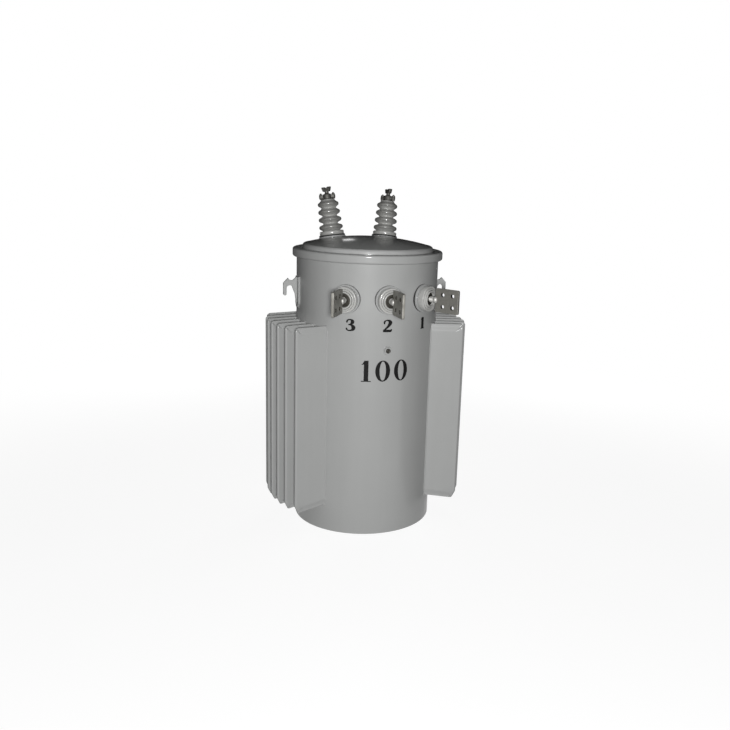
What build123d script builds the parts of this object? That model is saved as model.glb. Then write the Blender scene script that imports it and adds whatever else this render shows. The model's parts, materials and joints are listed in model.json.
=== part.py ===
"""Pole mounted transformer: a round finned tank with a domed cover, bushings, lifting lugs and pole hangers.

Millimetres, +Z up, front -Y. The origin is the centre of the tank's underside. Angles are in degrees round
the tank, from the front, positive towards +X.
"""
import os
from math import asin, cos, radians, sin, sqrt

from build123d import *

os.makedirs("parts", exist_ok=True)

# ---- tank -------------------------------------------------------------------------------------------------
TANK_R = 280
WALL_T = 5
BASE_T = 8
RIM_Z = 1064.5  # underside of the rim flange, where the clamp band grips
RIM_T = 12
FLANGE_OUT = 10
FLANGE_R = TANK_R + FLANGE_OUT  # outer radius of the rim flange and of the cover's flange
TANK_TOP = RIM_Z + RIM_T

# ---- cover ------------------------------------------------------------------------------------------------
COVER_T = 5
COVER_FLANGE_T = 11.5
SHOULDER_IN = 32  # inset of the upright shoulder from the flange's edge
SHOULDER_UP = 34.5
SHOULDER_FILLET = 12
CROWN_RISE = 31
SHOULDER_R = FLANGE_R - SHOULDER_IN
SHOULDER_Z = TANK_TOP + SHOULDER_UP
COVER_TOP = SHOULDER_Z + CROWN_RISE
CROWN_EDGE = SHOULDER_R - SHOULDER_FILLET
DOME_R = (CROWN_EDGE**2 + CROWN_RISE**2) / (2 * CROWN_RISE)  # the crown is part of a sphere
DOME_Z = COVER_TOP - DOME_R

# ---- clamp band -------------------------------------------------------------------------------------------
BAND_T = 5
BAND_CLEAR = 1
BAND_R = FLANGE_R + BAND_CLEAR + BAND_T
BAND_Z0 = RIM_Z - BAND_T
BAND_GRIP = RIM_T + COVER_FLANGE_T
BAND_Z1 = RIM_Z + BAND_GRIP + BAND_T
BAND_MID_Z = (BAND_Z0 + BAND_Z1) / 2
BAND_EDGE_R = 8
GROOVE_W = 6  # open groove between the band's upper leg and the shoulder
EAR_GAP = 26
EAR_T = 12
EAR_OUT = 30
EAR_H = 24
BAND_BOLT_R = 6
BOLT_CLEAR = 0.5
BOLT_HEX_R = 10.2  # centre to corner of its head and nut
BOLT_HEX_T = 9.6
BOLT_PROUD = 18  # shank beyond the far ear, with the nut on it

# ---- cooling fins -----------------------------------------------------------------------------------------
FIN_COUNT = 7
FIN_PITCH = 57.5
FIN_T = 14
FIN_END_T = 5  # thickness of the pinched top and bottom edges
FIN_TAPER = 30
FIN_LEAD = 2 * FIN_PITCH  # the first fin's plane lies this far in front of the tank's axis
FIN_ANGLE = 74  # every fin of a group points this way
FIN_OUT = 120
FIN_TIP_R = TANK_R + FIN_OUT  # the outer edges lie on this circle
FIN_Z0 = 91
FIN_DROP = 244.5  # top edge below the tank's rim
FIN_Z1 = RIM_Z - FIN_DROP
FIN_SLOPE = 13  # rise of the bottom edge from the outer corner to the tank
FIN_TOP_R = 14
FIN_CUT_IN = 15
FIN_CUT_UP = 30
FIN_EDGE_FILLET = 6.3

# ---- lifting lugs -----------------------------------------------------------------------------------------
LUG_ANGLE = 90
LUG_T = 10
LUG_DROP = 81.5  # top of the lug below the tank's rim
LUG_TOP = RIM_Z - LUG_DROP
LUG_H = 117
LUG_PAD_W = 54
LUG_PAD_T = 6
LUG_PAD_CUT = 16
LUG_TOE_UP = 4  # the hook plate ends this far above the pad's lower edge
HOOK_REACH = 58
HOOK_LEG_W = 12.5
HOOK_TIP_DROP = 66
HOOK_THROAT_W = 24
HOOK_THROAT_DROP = 33
HOOK_FLARE = 9  # lean of the throat's inner side, towards the wall at the bottom
SADDLE_W = 18
SADDLE_DROP = 14
SADDLE_SAG = 3.1
HORN_DROP = 5
HORN_IN = 18
HORN_CUT = 24

# ---- pole hangers -----------------------------------------------------------------------------------------
HANGER_PITCH = 590.55
HANGER_LOW_Z = 300
HANGER_STANDOFF = 70
HANGER_OUT = TANK_R + HANGER_STANDOFF  # tank axis to the face that meets the pole
HANGER_W = 110
HANGER_H = 100
HANGER_T = 10
HANGER_CORNER = 10
HANGER_HOLE_R = 11
GUSSET_T = 8
GUSSET_INSET = 9
GUSSET_BITE = 20  # length drawn past the wall's outermost line, to be trimmed by the wall

# ---- ground boss ------------------------------------------------------------------------------------------
GROUND_Z = 739
GROUND_R = 14
GROUND_OUT = 12
GROUND_HOLE_R = 6.5
GROUND_DEPTH = 10

# ---- high voltage bushings --------------------------------------------------------------------------------
HV_IN = 82  # inset of each seat's axis from the cover's shoulder
HV_RADIUS = SHOULDER_R - HV_IN
HV_ANGLE = 141
HV_SEAT_R = 52
HV_SEAT_H = 6
HV_GASKET_R = 50
HV_GASKET_T = 3
HV_SHANK_R = 27
HV_SHANK_L = 45
HV_CLEAR = 1
HV_COLLAR_R = 48.5
HV_COLLAR_RIM = 14
HV_COLLAR_H = 20
HV_CORE_R = 28.5
HV_HEIGHT = 141
HV_SHED_COUNT = 4
HV_SHED_FIRST = 31
HV_SHED_PITCH = 30.5
HV_SHED_R = 47.5
HV_SHED_SHRINK = 1.9  # each shed's radius is this much less than the one below
HV_RIM_R = 6
HV_SHED_HALF = 13
HV_CAP_R = 20
HV_CAP_H = 22
HV_CAP_TAPER = 8
HV_BAR_L = 66
HV_BAR_W = 16
HV_BAR_H = 12
HV_BAR_UP = 6
HV_EYE_R = 4
HV_NECK_R = 8
HV_TOP_UP = 32
HV_TOP_H = 18
HV_TOP_FOOT_L = 28
HV_TOP_FLARE = 22  # lean of the forked head's ends, in degrees
HV_TOP_T = 14
HV_TOP_CORNER = 4
HV_BAR_TURN = {"left": -20, "right": -45}  # direction of each clamp bar on the plan
HV_TOP_TURN = {"left": -45, "right": -80}

# ---- low voltage bushings ---------------------------------------------------------------------------------
LV_DROP = 135.5  # bushing axes below the tank's rim
LV_Z = RIM_Z - LV_DROP
LV_ANGLE = 32.5  # between neighbours
LV_GASKET_R = 55
LV_GASKET_T = 3
LV_RING_R = 53.5
LV_RING_T = 9
LV_RING_FILLET = 2
LV_BODY_R = 45
LV_SHED_R = 48.5
LV_SHED_T = 8
LV_SHED_OUT = 27
LV_FRONT = 40
LV_FRONT_FILLET = 4
LV_SHANK_R = 32
LV_SHANK_IN = 28
LV_CLEAR = 1
LV_GROOVE_AT = 34
LV_GROOVE_R = 2.5
LV_LIP_R = 27
LV_LIP_H = 3
LV_RECESS_R = 21
LV_RECESS_FLOOR = 27
NUT_R = 17.3
NUT_T = 9
STUD_R = 12
PAD_START = 62
PAD_END = 166
PAD_H = 90
PAD_T = 9.5
PAD_CORNER = 6
PAD_HOLE_R = 7.15
PAD_HOLE_SPACING = 44.45
PAD_TIP_MARGIN = 26


def outward(angle, radius, height):
    """Plane at a place round the tank: x along the wall, y up, z away from the tank's axis."""
    a = radians(angle)
    place = (radius * sin(a), -radius * cos(a), height)
    return Plane(origin=place, x_dir=(cos(a), sin(a), 0), z_dir=(sin(a), -cos(a), 0))


def upright(angle, offset=0):
    """Vertical plane that holds the tank's axis or runs beside it: x away from the axis, y up."""
    a = radians(angle)
    place = (offset * cos(a), offset * sin(a), 0)
    return Plane(origin=place, x_dir=(sin(a), -cos(a), 0), z_dir=(-cos(a), -sin(a), 0))


def crown_seat(side, lift=0):
    """Plane on the crown under a high voltage bushing, raised by lift along the crown's normal."""
    a = radians(side * HV_ANGLE)
    lean = asin(HV_RADIUS / DOME_R)
    normal = (sin(lean) * sin(a), -sin(lean) * cos(a), cos(lean))
    reach = DOME_R + lift
    place = (reach * normal[0], reach * normal[1], DOME_Z + reach * normal[2])
    return Plane(origin=place, x_dir=(cos(a), sin(a), 0), z_dir=normal)


def turning(seat):
    """Plane for a turned profile on a seat: x along the seat's normal, y the radius."""
    return Plane(origin=seat.origin, x_dir=seat.z_dir, z_dir=-seat.x_dir)


def facing(seat, direction):
    """The same plane with its x direction turned to a direction on the plan, in degrees from +X."""
    a = radians(direction)
    return Plane(origin=seat.origin, x_dir=(cos(a), sin(a), 0), z_dir=seat.z_dir)


def bar(start, end, radius):
    """Block of a turned profile, from the axis out to a radius, for use inside a sketch."""
    with Locations(((start + end) / 2, radius / 2)):
        Rectangle(end - start, radius)


def save(part, name):
    part.label = name
    export_step(part, f"parts/{name}.step")


def tank_wall():
    """Rolled wall with its rim flange and a hole for each low voltage bushing."""
    with BuildPart() as wall:
        Cylinder(TANK_R, TANK_TOP, align=(Align.CENTER, Align.CENTER, Align.MIN))
        with Locations((0, 0, RIM_Z)):
            Cylinder(FLANGE_R, RIM_T, align=(Align.CENTER, Align.CENTER, Align.MIN))
        Cylinder(
            TANK_R - WALL_T,
            TANK_TOP,
            align=(Align.CENTER, Align.CENTER, Align.MIN),
            mode=Mode.SUBTRACT,
        )
        for side in (-1, 0, 1):
            with BuildSketch(outward(side * LV_ANGLE, TANK_R / 2, LV_Z)):
                Circle(LV_SHANK_R + LV_CLEAR)
            extrude(amount=TANK_R, mode=Mode.SUBTRACT)
    save(wall.part, "tank_wall")


def tank_base():
    """Bottom plate, flush with the wall's lower edge."""
    with BuildPart() as base:
        Cylinder(TANK_R - WALL_T, BASE_T, align=(Align.CENTER, Align.CENTER, Align.MIN))
    save(base.part, "tank_base")


def cover_section(inset):
    """Half section of all that lies inside the cover's outer surface drawn in by inset."""
    radius = SHOULDER_R - inset
    crown = DOME_R - inset
    wall_top = (radius, SHOULDER_Z - SHOULDER_FILLET)
    edge = (CROWN_EDGE, DOME_Z + sqrt(crown**2 - CROWN_EDGE**2))
    corner_r = radius - (radius - CROWN_EDGE) * (1 - sqrt(0.5))
    corner_z = wall_top[1] + (edge[1] - wall_top[1]) * sqrt(0.5)
    half = asin(CROWN_EDGE / crown) / 2
    with BuildSketch(Plane.XZ) as section:
        with BuildLine():
            Polyline(wall_top, (radius, TANK_TOP), (0, TANK_TOP), (0, DOME_Z + crown))
            ThreePointArc((0, DOME_Z + crown), (crown * sin(half), DOME_Z + crown * cos(half)), edge)
            ThreePointArc(edge, (corner_r, corner_z), wall_top)
        make_face()
    return section.sketch


def cover():
    """Domed cover: flange, upright shoulder with a rounded top, and a crown pierced for the bushings."""
    with BuildPart() as lid:
        revolve(cover_section(0), axis=Axis.Z)
        with Locations((0, 0, TANK_TOP)):
            Cylinder(FLANGE_R, COVER_FLANGE_T, align=(Align.CENTER, Align.CENTER, Align.MIN))
        revolve(cover_section(COVER_T), axis=Axis.Z, mode=Mode.SUBTRACT)
        for side in (-1, 1):
            with BuildSketch(crown_seat(side)):
                Circle(HV_SHANK_R + HV_CLEAR)
            extrude(amount=HV_SHANK_R, both=True, mode=Mode.SUBTRACT)
    save(lid.part, "cover")


def bolt_plane(along):
    """Plane across the closing bolt of the clamp band, at a distance along the bolt."""
    return Plane(origin=(along, BAND_R + EAR_OUT / 2, BAND_MID_Z), x_dir=(0, 1, 0), z_dir=(1, 0, 0))


def cover_band():
    """Clamp band round the rim: a rolled channel, open at the back between two bolted ears."""
    ear_mid_y = BAND_R - BAND_T + (EAR_OUT + BAND_T) / 2
    with BuildPart() as band:
        with BuildSketch(Plane.XZ) as section:
            with Locations((SHOULDER_R + GROOVE_W, BAND_Z0)):
                Rectangle(BAND_R - SHOULDER_R - GROOVE_W, BAND_Z1 - BAND_Z0, align=Align.MIN)
            fillet(section.vertices().group_by(Axis.X)[-1], BAND_EDGE_R)
            with Locations((0, RIM_Z)):
                Rectangle(BAND_R - BAND_T, BAND_GRIP, align=Align.MIN, mode=Mode.SUBTRACT)
            with Locations((0, BAND_Z0)):
                Rectangle(TANK_R + 1, BAND_T, align=Align.MIN, mode=Mode.SUBTRACT)
        revolve(axis=Axis.Z)
        with Locations((0, BAND_R, BAND_MID_Z)):
            Box(EAR_GAP, BAND_R / 2, BAND_Z1 - BAND_Z0, mode=Mode.SUBTRACT)
        for side in (-1, 1):
            with Locations((side * (EAR_GAP + EAR_T) / 2, ear_mid_y, BAND_MID_Z)):
                Box(EAR_T, EAR_OUT + BAND_T, EAR_H)
        with BuildSketch(bolt_plane(0)):
            Circle(BAND_BOLT_R + BOLT_CLEAR)
        extrude(amount=EAR_GAP + EAR_T, both=True, mode=Mode.SUBTRACT)
    save(band.part, "cover_band")


def band_bolt():
    """Bolt that draws the band's ears together, with its head and nut."""
    grip = EAR_GAP / 2 + EAR_T
    with BuildPart() as bolt:
        with BuildSketch(bolt_plane(-grip)):
            Circle(BAND_BOLT_R)
        extrude(amount=2 * grip + BOLT_PROUD)
        with BuildSketch(bolt_plane(-grip), bolt_plane(grip + BOLT_HEX_T)):
            RegularPolygon(BOLT_HEX_R, 6)
        extrude(amount=-BOLT_HEX_T)
    save(bolt.part, "band_bolt")


def cooling_fin(side, number):
    """One pressed fin, modelled solid: rounded top corner, cut bottom corner and pinched ends."""
    angle = side * FIN_ANGLE
    offset = side * ((number - 1) * FIN_PITCH - FIN_LEAD)
    reach = sqrt(FIN_TIP_R**2 - offset**2)
    middle = upright(angle, offset)
    with BuildPart() as fin:
        with BuildSketch(middle) as face:
            with BuildLine():
                Polyline(
                    (0, FIN_Z1),
                    (reach, FIN_Z1),
                    (reach, FIN_Z0 + FIN_CUT_UP),
                    (reach - FIN_CUT_IN, FIN_Z0),
                    (sqrt(TANK_R**2 - offset**2), FIN_Z0 + FIN_SLOPE),
                    (0, FIN_Z0 + FIN_SLOPE),
                    close=True,
                )
            make_face()
            fillet(face.vertices().group_by(Axis.Y)[-1].sort_by(Axis.X)[-1:], FIN_TOP_R)
        extrude(amount=FIN_T / 2, both=True)
        with BuildSketch(Plane(origin=middle.origin, x_dir=middle.x_dir, z_dir=(0, 0, 1))) as plan:
            with Locations((reach / 2, 0)):
                Rectangle(reach, FIN_T)
            fillet(plan.vertices().group_by(Axis.X)[-1], FIN_EDGE_FILLET)
        extrude(amount=FIN_Z1, mode=Mode.INTERSECT)
        with BuildSketch(Plane(origin=middle.origin, x_dir=-middle.z_dir, z_dir=middle.x_dir)):
            with BuildLine():
                Polyline(
                    (-FIN_END_T / 2, FIN_Z0),
                    (-FIN_T / 2, FIN_Z0 + FIN_TAPER),
                    (-FIN_T / 2, FIN_Z1 - FIN_TAPER),
                    (-FIN_END_T / 2, FIN_Z1),
                    (FIN_END_T / 2, FIN_Z1),
                    (FIN_T / 2, FIN_Z1 - FIN_TAPER),
                    (FIN_T / 2, FIN_Z0 + FIN_TAPER),
                    (FIN_END_T / 2, FIN_Z0),
                    close=True,
                )
            make_face()
        extrude(amount=FIN_TIP_R, mode=Mode.INTERSECT)
        Cylinder(TANK_R, 2 * FIN_Z1, mode=Mode.SUBTRACT)
    save(fin.part, f"{'left' if side < 0 else 'right'}_fin_{number}")


def hook_outline():
    """Outline of the hook plate: x is the distance from the tank's axis, y the height."""
    toe_z = LUG_TOP - LUG_H + LUG_TOE_UP
    tip_z = LUG_TOP - HOOK_TIP_DROP
    pad_face = TANK_R + LUG_PAD_T
    leg_out = TANK_R + HOOK_REACH
    leg_in = leg_out - HOOK_LEG_W
    leg_mid = (leg_in + leg_out) / 2
    throat_in = leg_in - HOOK_THROAT_W
    throat_mid = (throat_in + leg_in) / 2
    throat_z = LUG_TOP - HOOK_THROAT_DROP
    spring_z = throat_z - HOOK_THROAT_W / 2
    flare = (throat_in - HOOK_FLARE, tip_z)
    horn = (leg_out - HORN_IN, LUG_TOP - HORN_DROP)
    saddle_end = (horn[0] - SADDLE_W, LUG_TOP - SADDLE_DROP)
    saddle_mid = ((horn[0] + saddle_end[0]) / 2, (horn[1] + saddle_end[1]) / 2 - SADDLE_SAG)
    with BuildSketch(Plane.XY) as outline:
        with BuildLine():
            Polyline(saddle_end, (pad_face, LUG_TOP), (TANK_R / 2, LUG_TOP), (TANK_R / 2, toe_z))
            Polyline((TANK_R / 2, toe_z), (pad_face, toe_z), flare, (throat_in, spring_z))
            ThreePointArc((throat_in, spring_z), (throat_mid, throat_z), (leg_in, spring_z))
            Line((leg_in, spring_z), (leg_in, tip_z))
            ThreePointArc((leg_in, tip_z), (leg_mid, tip_z - HOOK_LEG_W / 2), (leg_out, tip_z))
            Polyline((leg_out, tip_z), (leg_out, LUG_TOP - HORN_CUT), horn)
            ThreePointArc(horn, saddle_mid, saddle_end)
        make_face()
    return outline.sketch


def lifting_lug(side):
    """Lug with a pad that follows the wall and a hook that opens downwards."""
    with BuildPart() as lug:
        with BuildSketch(outward(side * LUG_ANGLE, TANK_R / 2, LUG_TOP - LUG_H / 2)) as pad:
            Rectangle(LUG_PAD_W, LUG_H)
            chamfer(pad.vertices().group_by(Axis.Y)[0], LUG_PAD_CUT)
        extrude(amount=TANK_R)
        Cylinder(TANK_R + LUG_PAD_T, 2 * LUG_TOP, mode=Mode.INTERSECT)
        with BuildSketch(upright(side * LUG_ANGLE)):
            add(hook_outline())
        extrude(amount=LUG_T / 2, both=True)
        Cylinder(TANK_R, 2 * LUG_TOP, mode=Mode.SUBTRACT)
    save(lug.part, f"lifting_lug_{'left' if side < 0 else 'right'}")


def pole_hanger(name, height, web_side):
    """Hanger on the back: a plate that meets the pole, two gussets and a web above or below."""
    face = outward(180, HANGER_OUT, height)
    gusset_x = HANGER_W / 2 - GUSSET_INSET
    web_y = web_side * (HANGER_H / 2 - HANGER_CORNER - GUSSET_T / 2)
    with BuildPart() as hanger:
        with BuildSketch(face) as plate:
            Rectangle(HANGER_W, HANGER_H)
            fillet(plate.vertices(), HANGER_CORNER)
        extrude(amount=-HANGER_T)
        with BuildSketch(face):
            with GridLocations(2 * gusset_x, 0, 2, 1):
                Rectangle(GUSSET_T, HANGER_H - 2 * HANGER_CORNER)
            with Locations((0, web_y)):
                Rectangle(2 * gusset_x, GUSSET_T)
        extrude(amount=-HANGER_STANDOFF - GUSSET_BITE)
        with BuildSketch(face):
            Circle(HANGER_HOLE_R)
        extrude(amount=-HANGER_T, mode=Mode.SUBTRACT)
        Cylinder(TANK_R, 4 * height, mode=Mode.SUBTRACT)
    save(hanger.part, name)


def ground_boss():
    """Tapped boss low on the front of the wall, for the tank's ground connector."""
    mouth = outward(0, TANK_R + GROUND_OUT, GROUND_Z)
    with BuildPart() as boss:
        with BuildSketch(mouth):
            Circle(GROUND_R)
        extrude(amount=-2 * GROUND_OUT)
        with BuildSketch(mouth):
            Circle(GROUND_HOLE_R)
        extrude(amount=-GROUND_DEPTH, mode=Mode.SUBTRACT)
        Cylinder(TANK_R, 4 * GROUND_Z, mode=Mode.SUBTRACT)
    save(boss.part, "ground_boss")


def hv_seat(side, name):
    """Raised seat on the crown, its underside following the crown."""
    with BuildPart() as seat:
        with BuildSketch(crown_seat(side, HV_SEAT_H)):
            Circle(HV_SEAT_R)
            Circle(HV_SHANK_R + HV_CLEAR, mode=Mode.SUBTRACT)
        extrude(amount=-2 * HV_SEAT_H)
        with Locations((0, 0, DOME_Z)):
            Sphere(DOME_R, mode=Mode.SUBTRACT)
    save(seat.part, f"hv_seat_{name}")


def hv_gasket(side, name):
    """Flat rubber ring between seat and porcelain."""
    with BuildPart() as gasket:
        with BuildSketch(crown_seat(side, HV_SEAT_H)):
            Circle(HV_GASKET_R)
            Circle(HV_SHANK_R + HV_CLEAR, mode=Mode.SUBTRACT)
        extrude(amount=HV_GASKET_T)
    save(gasket.part, f"hv_gasket_{name}")


def hv_bushing(side, name):
    """Porcelain: collar, core with rounded sheds, and a shank that passes through the cover."""
    seat = crown_seat(side, HV_SEAT_H + HV_GASKET_T)
    with BuildPart() as porcelain:
        with BuildSketch(turning(seat)):
            bar(-HV_SHANK_L, 0, HV_SHANK_R)
            bar(0, HV_HEIGHT, HV_CORE_R)
            bar(0, HV_COLLAR_RIM, HV_COLLAR_R)
            with BuildLine():
                Polyline(
                    (HV_COLLAR_RIM, 0),
                    (HV_COLLAR_RIM, HV_COLLAR_R),
                    (HV_COLLAR_H, HV_CORE_R),
                    (HV_COLLAR_H, 0),
                    close=True,
                )
            make_face()
            for number in range(HV_SHED_COUNT):
                along = HV_SHED_FIRST + number * HV_SHED_PITCH
                rim = HV_SHED_R - number * HV_SHED_SHRINK - HV_RIM_R
                with BuildLine():
                    Polyline(
                        (along - HV_SHED_HALF, HV_CORE_R - 1),
                        (along - HV_RIM_R, rim),
                        (along + HV_RIM_R, rim),
                        (along + HV_SHED_HALF, HV_CORE_R - 1),
                        close=True,
                    )
                make_face()
                with Locations((along, rim)):
                    Circle(HV_RIM_R)
        revolve(axis=Axis(seat.origin, seat.z_dir))
    save(porcelain.part, f"hv_bushing_{name}")


def hv_terminal(side, name):
    """Metal cap, clamp bar with a conductor eye at each end, neck and forked head."""
    base = crown_seat(side, HV_SEAT_H + HV_GASKET_T + HV_HEIGHT)
    under_bar = facing(base, HV_BAR_TURN[name]).offset(HV_BAR_UP)
    head = facing(base, HV_TOP_TURN[name])
    with BuildPart() as terminal:
        with BuildSketch(base):
            Circle(HV_CAP_R)
        extrude(amount=HV_CAP_H, taper=HV_CAP_TAPER)
        with BuildSketch(base):
            Circle(HV_NECK_R)
        extrude(amount=HV_TOP_UP + HV_TOP_H / 2)
        with BuildSketch(under_bar):
            SlotOverall(HV_BAR_L, HV_BAR_W)
        extrude(amount=HV_BAR_H)
        with BuildSketch(under_bar):
            with GridLocations(HV_BAR_L - HV_BAR_W, 0, 2, 1):
                Circle(HV_EYE_R)
        extrude(amount=HV_BAR_H, mode=Mode.SUBTRACT)
        with BuildSketch(Plane(origin=head.origin, x_dir=head.x_dir, z_dir=-head.y_dir)) as fork:
            with Locations((0, HV_TOP_UP + HV_TOP_H / 2)):
                Trapezoid(HV_TOP_FOOT_L, HV_TOP_H, 90 + HV_TOP_FLARE)
            fillet(fork.vertices(), HV_TOP_CORNER)
        extrude(amount=HV_TOP_T / 2, both=True)
    save(terminal.part, f"hv_terminal_{name}")


def lv_gasket(angle, name):
    """Rubber ring shaped to the wall behind a low voltage bushing."""
    with BuildPart() as gasket:
        with BuildSketch(outward(angle, TANK_R + LV_GASKET_T, LV_Z)):
            Circle(LV_GASKET_R)
            Circle(LV_SHANK_R + LV_CLEAR, mode=Mode.SUBTRACT)
        extrude(amount=-4 * LV_GASKET_T)
        Cylinder(TANK_R, 4 * LV_Z, mode=Mode.SUBTRACT)
    save(gasket.part, f"lv_gasket_{name}")


def lv_clamp_ring(angle, name):
    """Painted ring that holds the low voltage bushing against its gasket."""
    with BuildPart() as ring:
        with BuildSketch(outward(angle, TANK_R + LV_GASKET_T, LV_Z)):
            Circle(LV_RING_R)
            Circle(LV_SHANK_R + LV_CLEAR, mode=Mode.SUBTRACT)
        extrude(amount=LV_RING_T)
        front = ring.faces().filter_by(GeomType.PLANE).sort_by_distance((0, 0, LV_Z))[-1]
        fillet(front.outer_wire().edges(), LV_RING_FILLET)
    save(ring.part, f"lv_clamp_ring_{name}")


def lv_bushing(angle, name):
    """Porcelain: shank through the wall, ribbed body, grooved front and a recess for the nut."""
    seat = outward(angle, TANK_R, LV_Z)
    back = LV_GASKET_T + LV_RING_T
    with BuildPart() as porcelain:
        with BuildSketch(turning(seat)) as section:
            bar(back, LV_FRONT, LV_BODY_R)
            fillet(section.vertices().group_by(Axis.X)[-1].sort_by(Axis.Y)[-1:], LV_FRONT_FILLET)
            bar(-LV_SHANK_IN, back, LV_SHANK_R)
            bar(LV_SHED_OUT - LV_SHED_T / 2, LV_SHED_OUT + LV_SHED_T / 2, LV_SHED_R - LV_SHED_T / 2)
            with Locations((LV_SHED_OUT, LV_SHED_R - LV_SHED_T / 2)):
                Circle(LV_SHED_T / 2)
            bar(LV_FRONT, LV_FRONT + LV_LIP_H, LV_LIP_R)
            with Locations((LV_FRONT, LV_GROOVE_AT)):
                Circle(LV_GROOVE_R, mode=Mode.SUBTRACT)
            with Locations((LV_RECESS_FLOOR, 0)):
                Rectangle(LV_FRONT, LV_RECESS_R, align=Align.MIN, mode=Mode.SUBTRACT)
        revolve(axis=Axis(seat.origin, seat.z_dir))
    save(porcelain.part, f"lv_bushing_{name}")


def lv_terminal(angle, name):
    """Nut, stud and upright spade pad with four holes."""
    floor = outward(angle, TANK_R + LV_RECESS_FLOOR, LV_Z)
    middle = upright(angle)
    pad_mid = TANK_R + (PAD_START + PAD_END) / 2
    hole_mid = TANK_R + PAD_END - PAD_TIP_MARGIN - PAD_HOLE_SPACING / 2
    with BuildPart() as terminal:
        with BuildSketch(floor):
            RegularPolygon(NUT_R, 6)
        extrude(amount=NUT_T)
        with BuildSketch(floor):
            Circle(STUD_R)
        extrude(amount=PAD_START - LV_RECESS_FLOOR + STUD_R)
        with BuildSketch(middle) as pad:
            with Locations((pad_mid, LV_Z)):
                Rectangle(PAD_END - PAD_START, PAD_H)
            fillet(pad.vertices(), PAD_CORNER)
            with Locations((hole_mid, LV_Z)):
                with GridLocations(PAD_HOLE_SPACING, PAD_HOLE_SPACING, 2, 2):
                    Circle(PAD_HOLE_R, mode=Mode.SUBTRACT)
        extrude(amount=PAD_T / 2, both=True)
    save(terminal.part, f"lv_terminal_{name}")


tank_wall()
tank_base()
cover()
cover_band()
band_bolt()
for side in (-1, 1):
    for number in range(1, FIN_COUNT + 1):
        cooling_fin(side, number)
    lifting_lug(side)
pole_hanger("upper_hanger", HANGER_LOW_Z + HANGER_PITCH, -1)
pole_hanger("lower_hanger", HANGER_LOW_Z, 1)
ground_boss()
for side, name in ((-1, "left"), (1, "right")):
    hv_seat(side, name)
    hv_gasket(side, name)
    hv_bushing(side, name)
    hv_terminal(side, name)
for side, name in ((-1, "left"), (0, "middle"), (1, "right")):
    lv_gasket(side * LV_ANGLE, name)
    lv_clamp_ring(side * LV_ANGLE, name)
    lv_bushing(side * LV_ANGLE, name)
    lv_terminal(side * LV_ANGLE, name)
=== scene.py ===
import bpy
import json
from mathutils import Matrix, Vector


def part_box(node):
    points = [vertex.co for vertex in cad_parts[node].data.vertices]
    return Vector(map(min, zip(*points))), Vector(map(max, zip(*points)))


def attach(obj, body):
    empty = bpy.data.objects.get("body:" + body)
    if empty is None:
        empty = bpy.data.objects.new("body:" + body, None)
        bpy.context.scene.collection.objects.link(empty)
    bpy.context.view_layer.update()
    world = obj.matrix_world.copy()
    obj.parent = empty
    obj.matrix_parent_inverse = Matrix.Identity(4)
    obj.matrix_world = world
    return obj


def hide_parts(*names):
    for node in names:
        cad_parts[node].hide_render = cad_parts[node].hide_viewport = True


bl_info = {
    "name": "Pole mounted transformer",
    "version": (1, 0, 0),
    "blender": (4, 5, 0),
    "location": "3D View > Sidebar > Transformer",
    "description": "Dresses a finned transformer tank with paint, porcelain, terminals, welds and numbers",
    "category": "Add Mesh",
}

import json
from math import asin, atan2, ceil, cos, hypot, pi, radians, sin, sqrt, tan

import bmesh
import bpy
import numpy as np
from bpy.props import FloatProperty, FloatVectorProperty, IntProperty, PointerProperty
from mathutils import Matrix, Vector

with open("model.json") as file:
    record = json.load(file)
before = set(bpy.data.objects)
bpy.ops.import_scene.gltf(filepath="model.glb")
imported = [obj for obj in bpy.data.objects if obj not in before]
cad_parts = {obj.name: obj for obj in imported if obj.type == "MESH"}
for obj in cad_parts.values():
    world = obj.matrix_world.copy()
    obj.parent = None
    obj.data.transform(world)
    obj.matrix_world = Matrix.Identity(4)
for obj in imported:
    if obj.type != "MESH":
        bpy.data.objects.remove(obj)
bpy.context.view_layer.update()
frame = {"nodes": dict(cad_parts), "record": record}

WALL_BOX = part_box("tank_wall")
BASE_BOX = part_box("tank_base")
COVER_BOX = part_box("cover")
FIN_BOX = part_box("left_fin_3")
LV_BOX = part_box("lv_gasket_middle")
BOLT_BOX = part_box("band_bolt")
LUG_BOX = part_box("lifting_lug_left")

SIDES = ((-1, "left"), (1, "right"))

# All sizes are in metres.
BASE_INSET = 0.005  # bottom plate's edge to the wall's outer face
RIM_FLANGE = 0.012  # height of the wall's rim flange
PROUD = 0.0005  # stand-off of a bead's middle from the wall
# Weld beads: width, height, and length of a ripple.
RIM_BEAD = (0.006, 0.0028, 0.006)
FIN_BEAD = (0.0056, 0.0028, 0.006)
FIN_END_BEAD = (0.006, 0.003, 0.005)
HANGER_BEAD = (0.007, 0.0034, 0.0065)
LUG_BEAD = (0.006, 0.003, 0.006)
SEAT_BEAD = (0.0055, 0.0028, 0.0055)
BOSS_BEAD = (0.0055, 0.0028, 0.005)


# ---- sizes and colours a user may change ----
def size(name, description, default):
    return FloatProperty(
        name=name, description=description, default=default, min=0, unit="LENGTH", precision=5
    )


def turn(name, description, default):
    return FloatProperty(name=name, description=description, default=radians(default), subtype="ANGLE")


def number(name, description, default):
    return FloatProperty(name=name, description=description, default=default, precision=3)


def position(name, description, default):
    return FloatVectorProperty(
        name=name, description=description, default=default, subtype="XYZ", precision=4
    )


def colour(name, description, default):
    return FloatVectorProperty(
        name=name, description=description, default=default, size=3, min=0, max=1, subtype="COLOR"
    )


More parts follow.
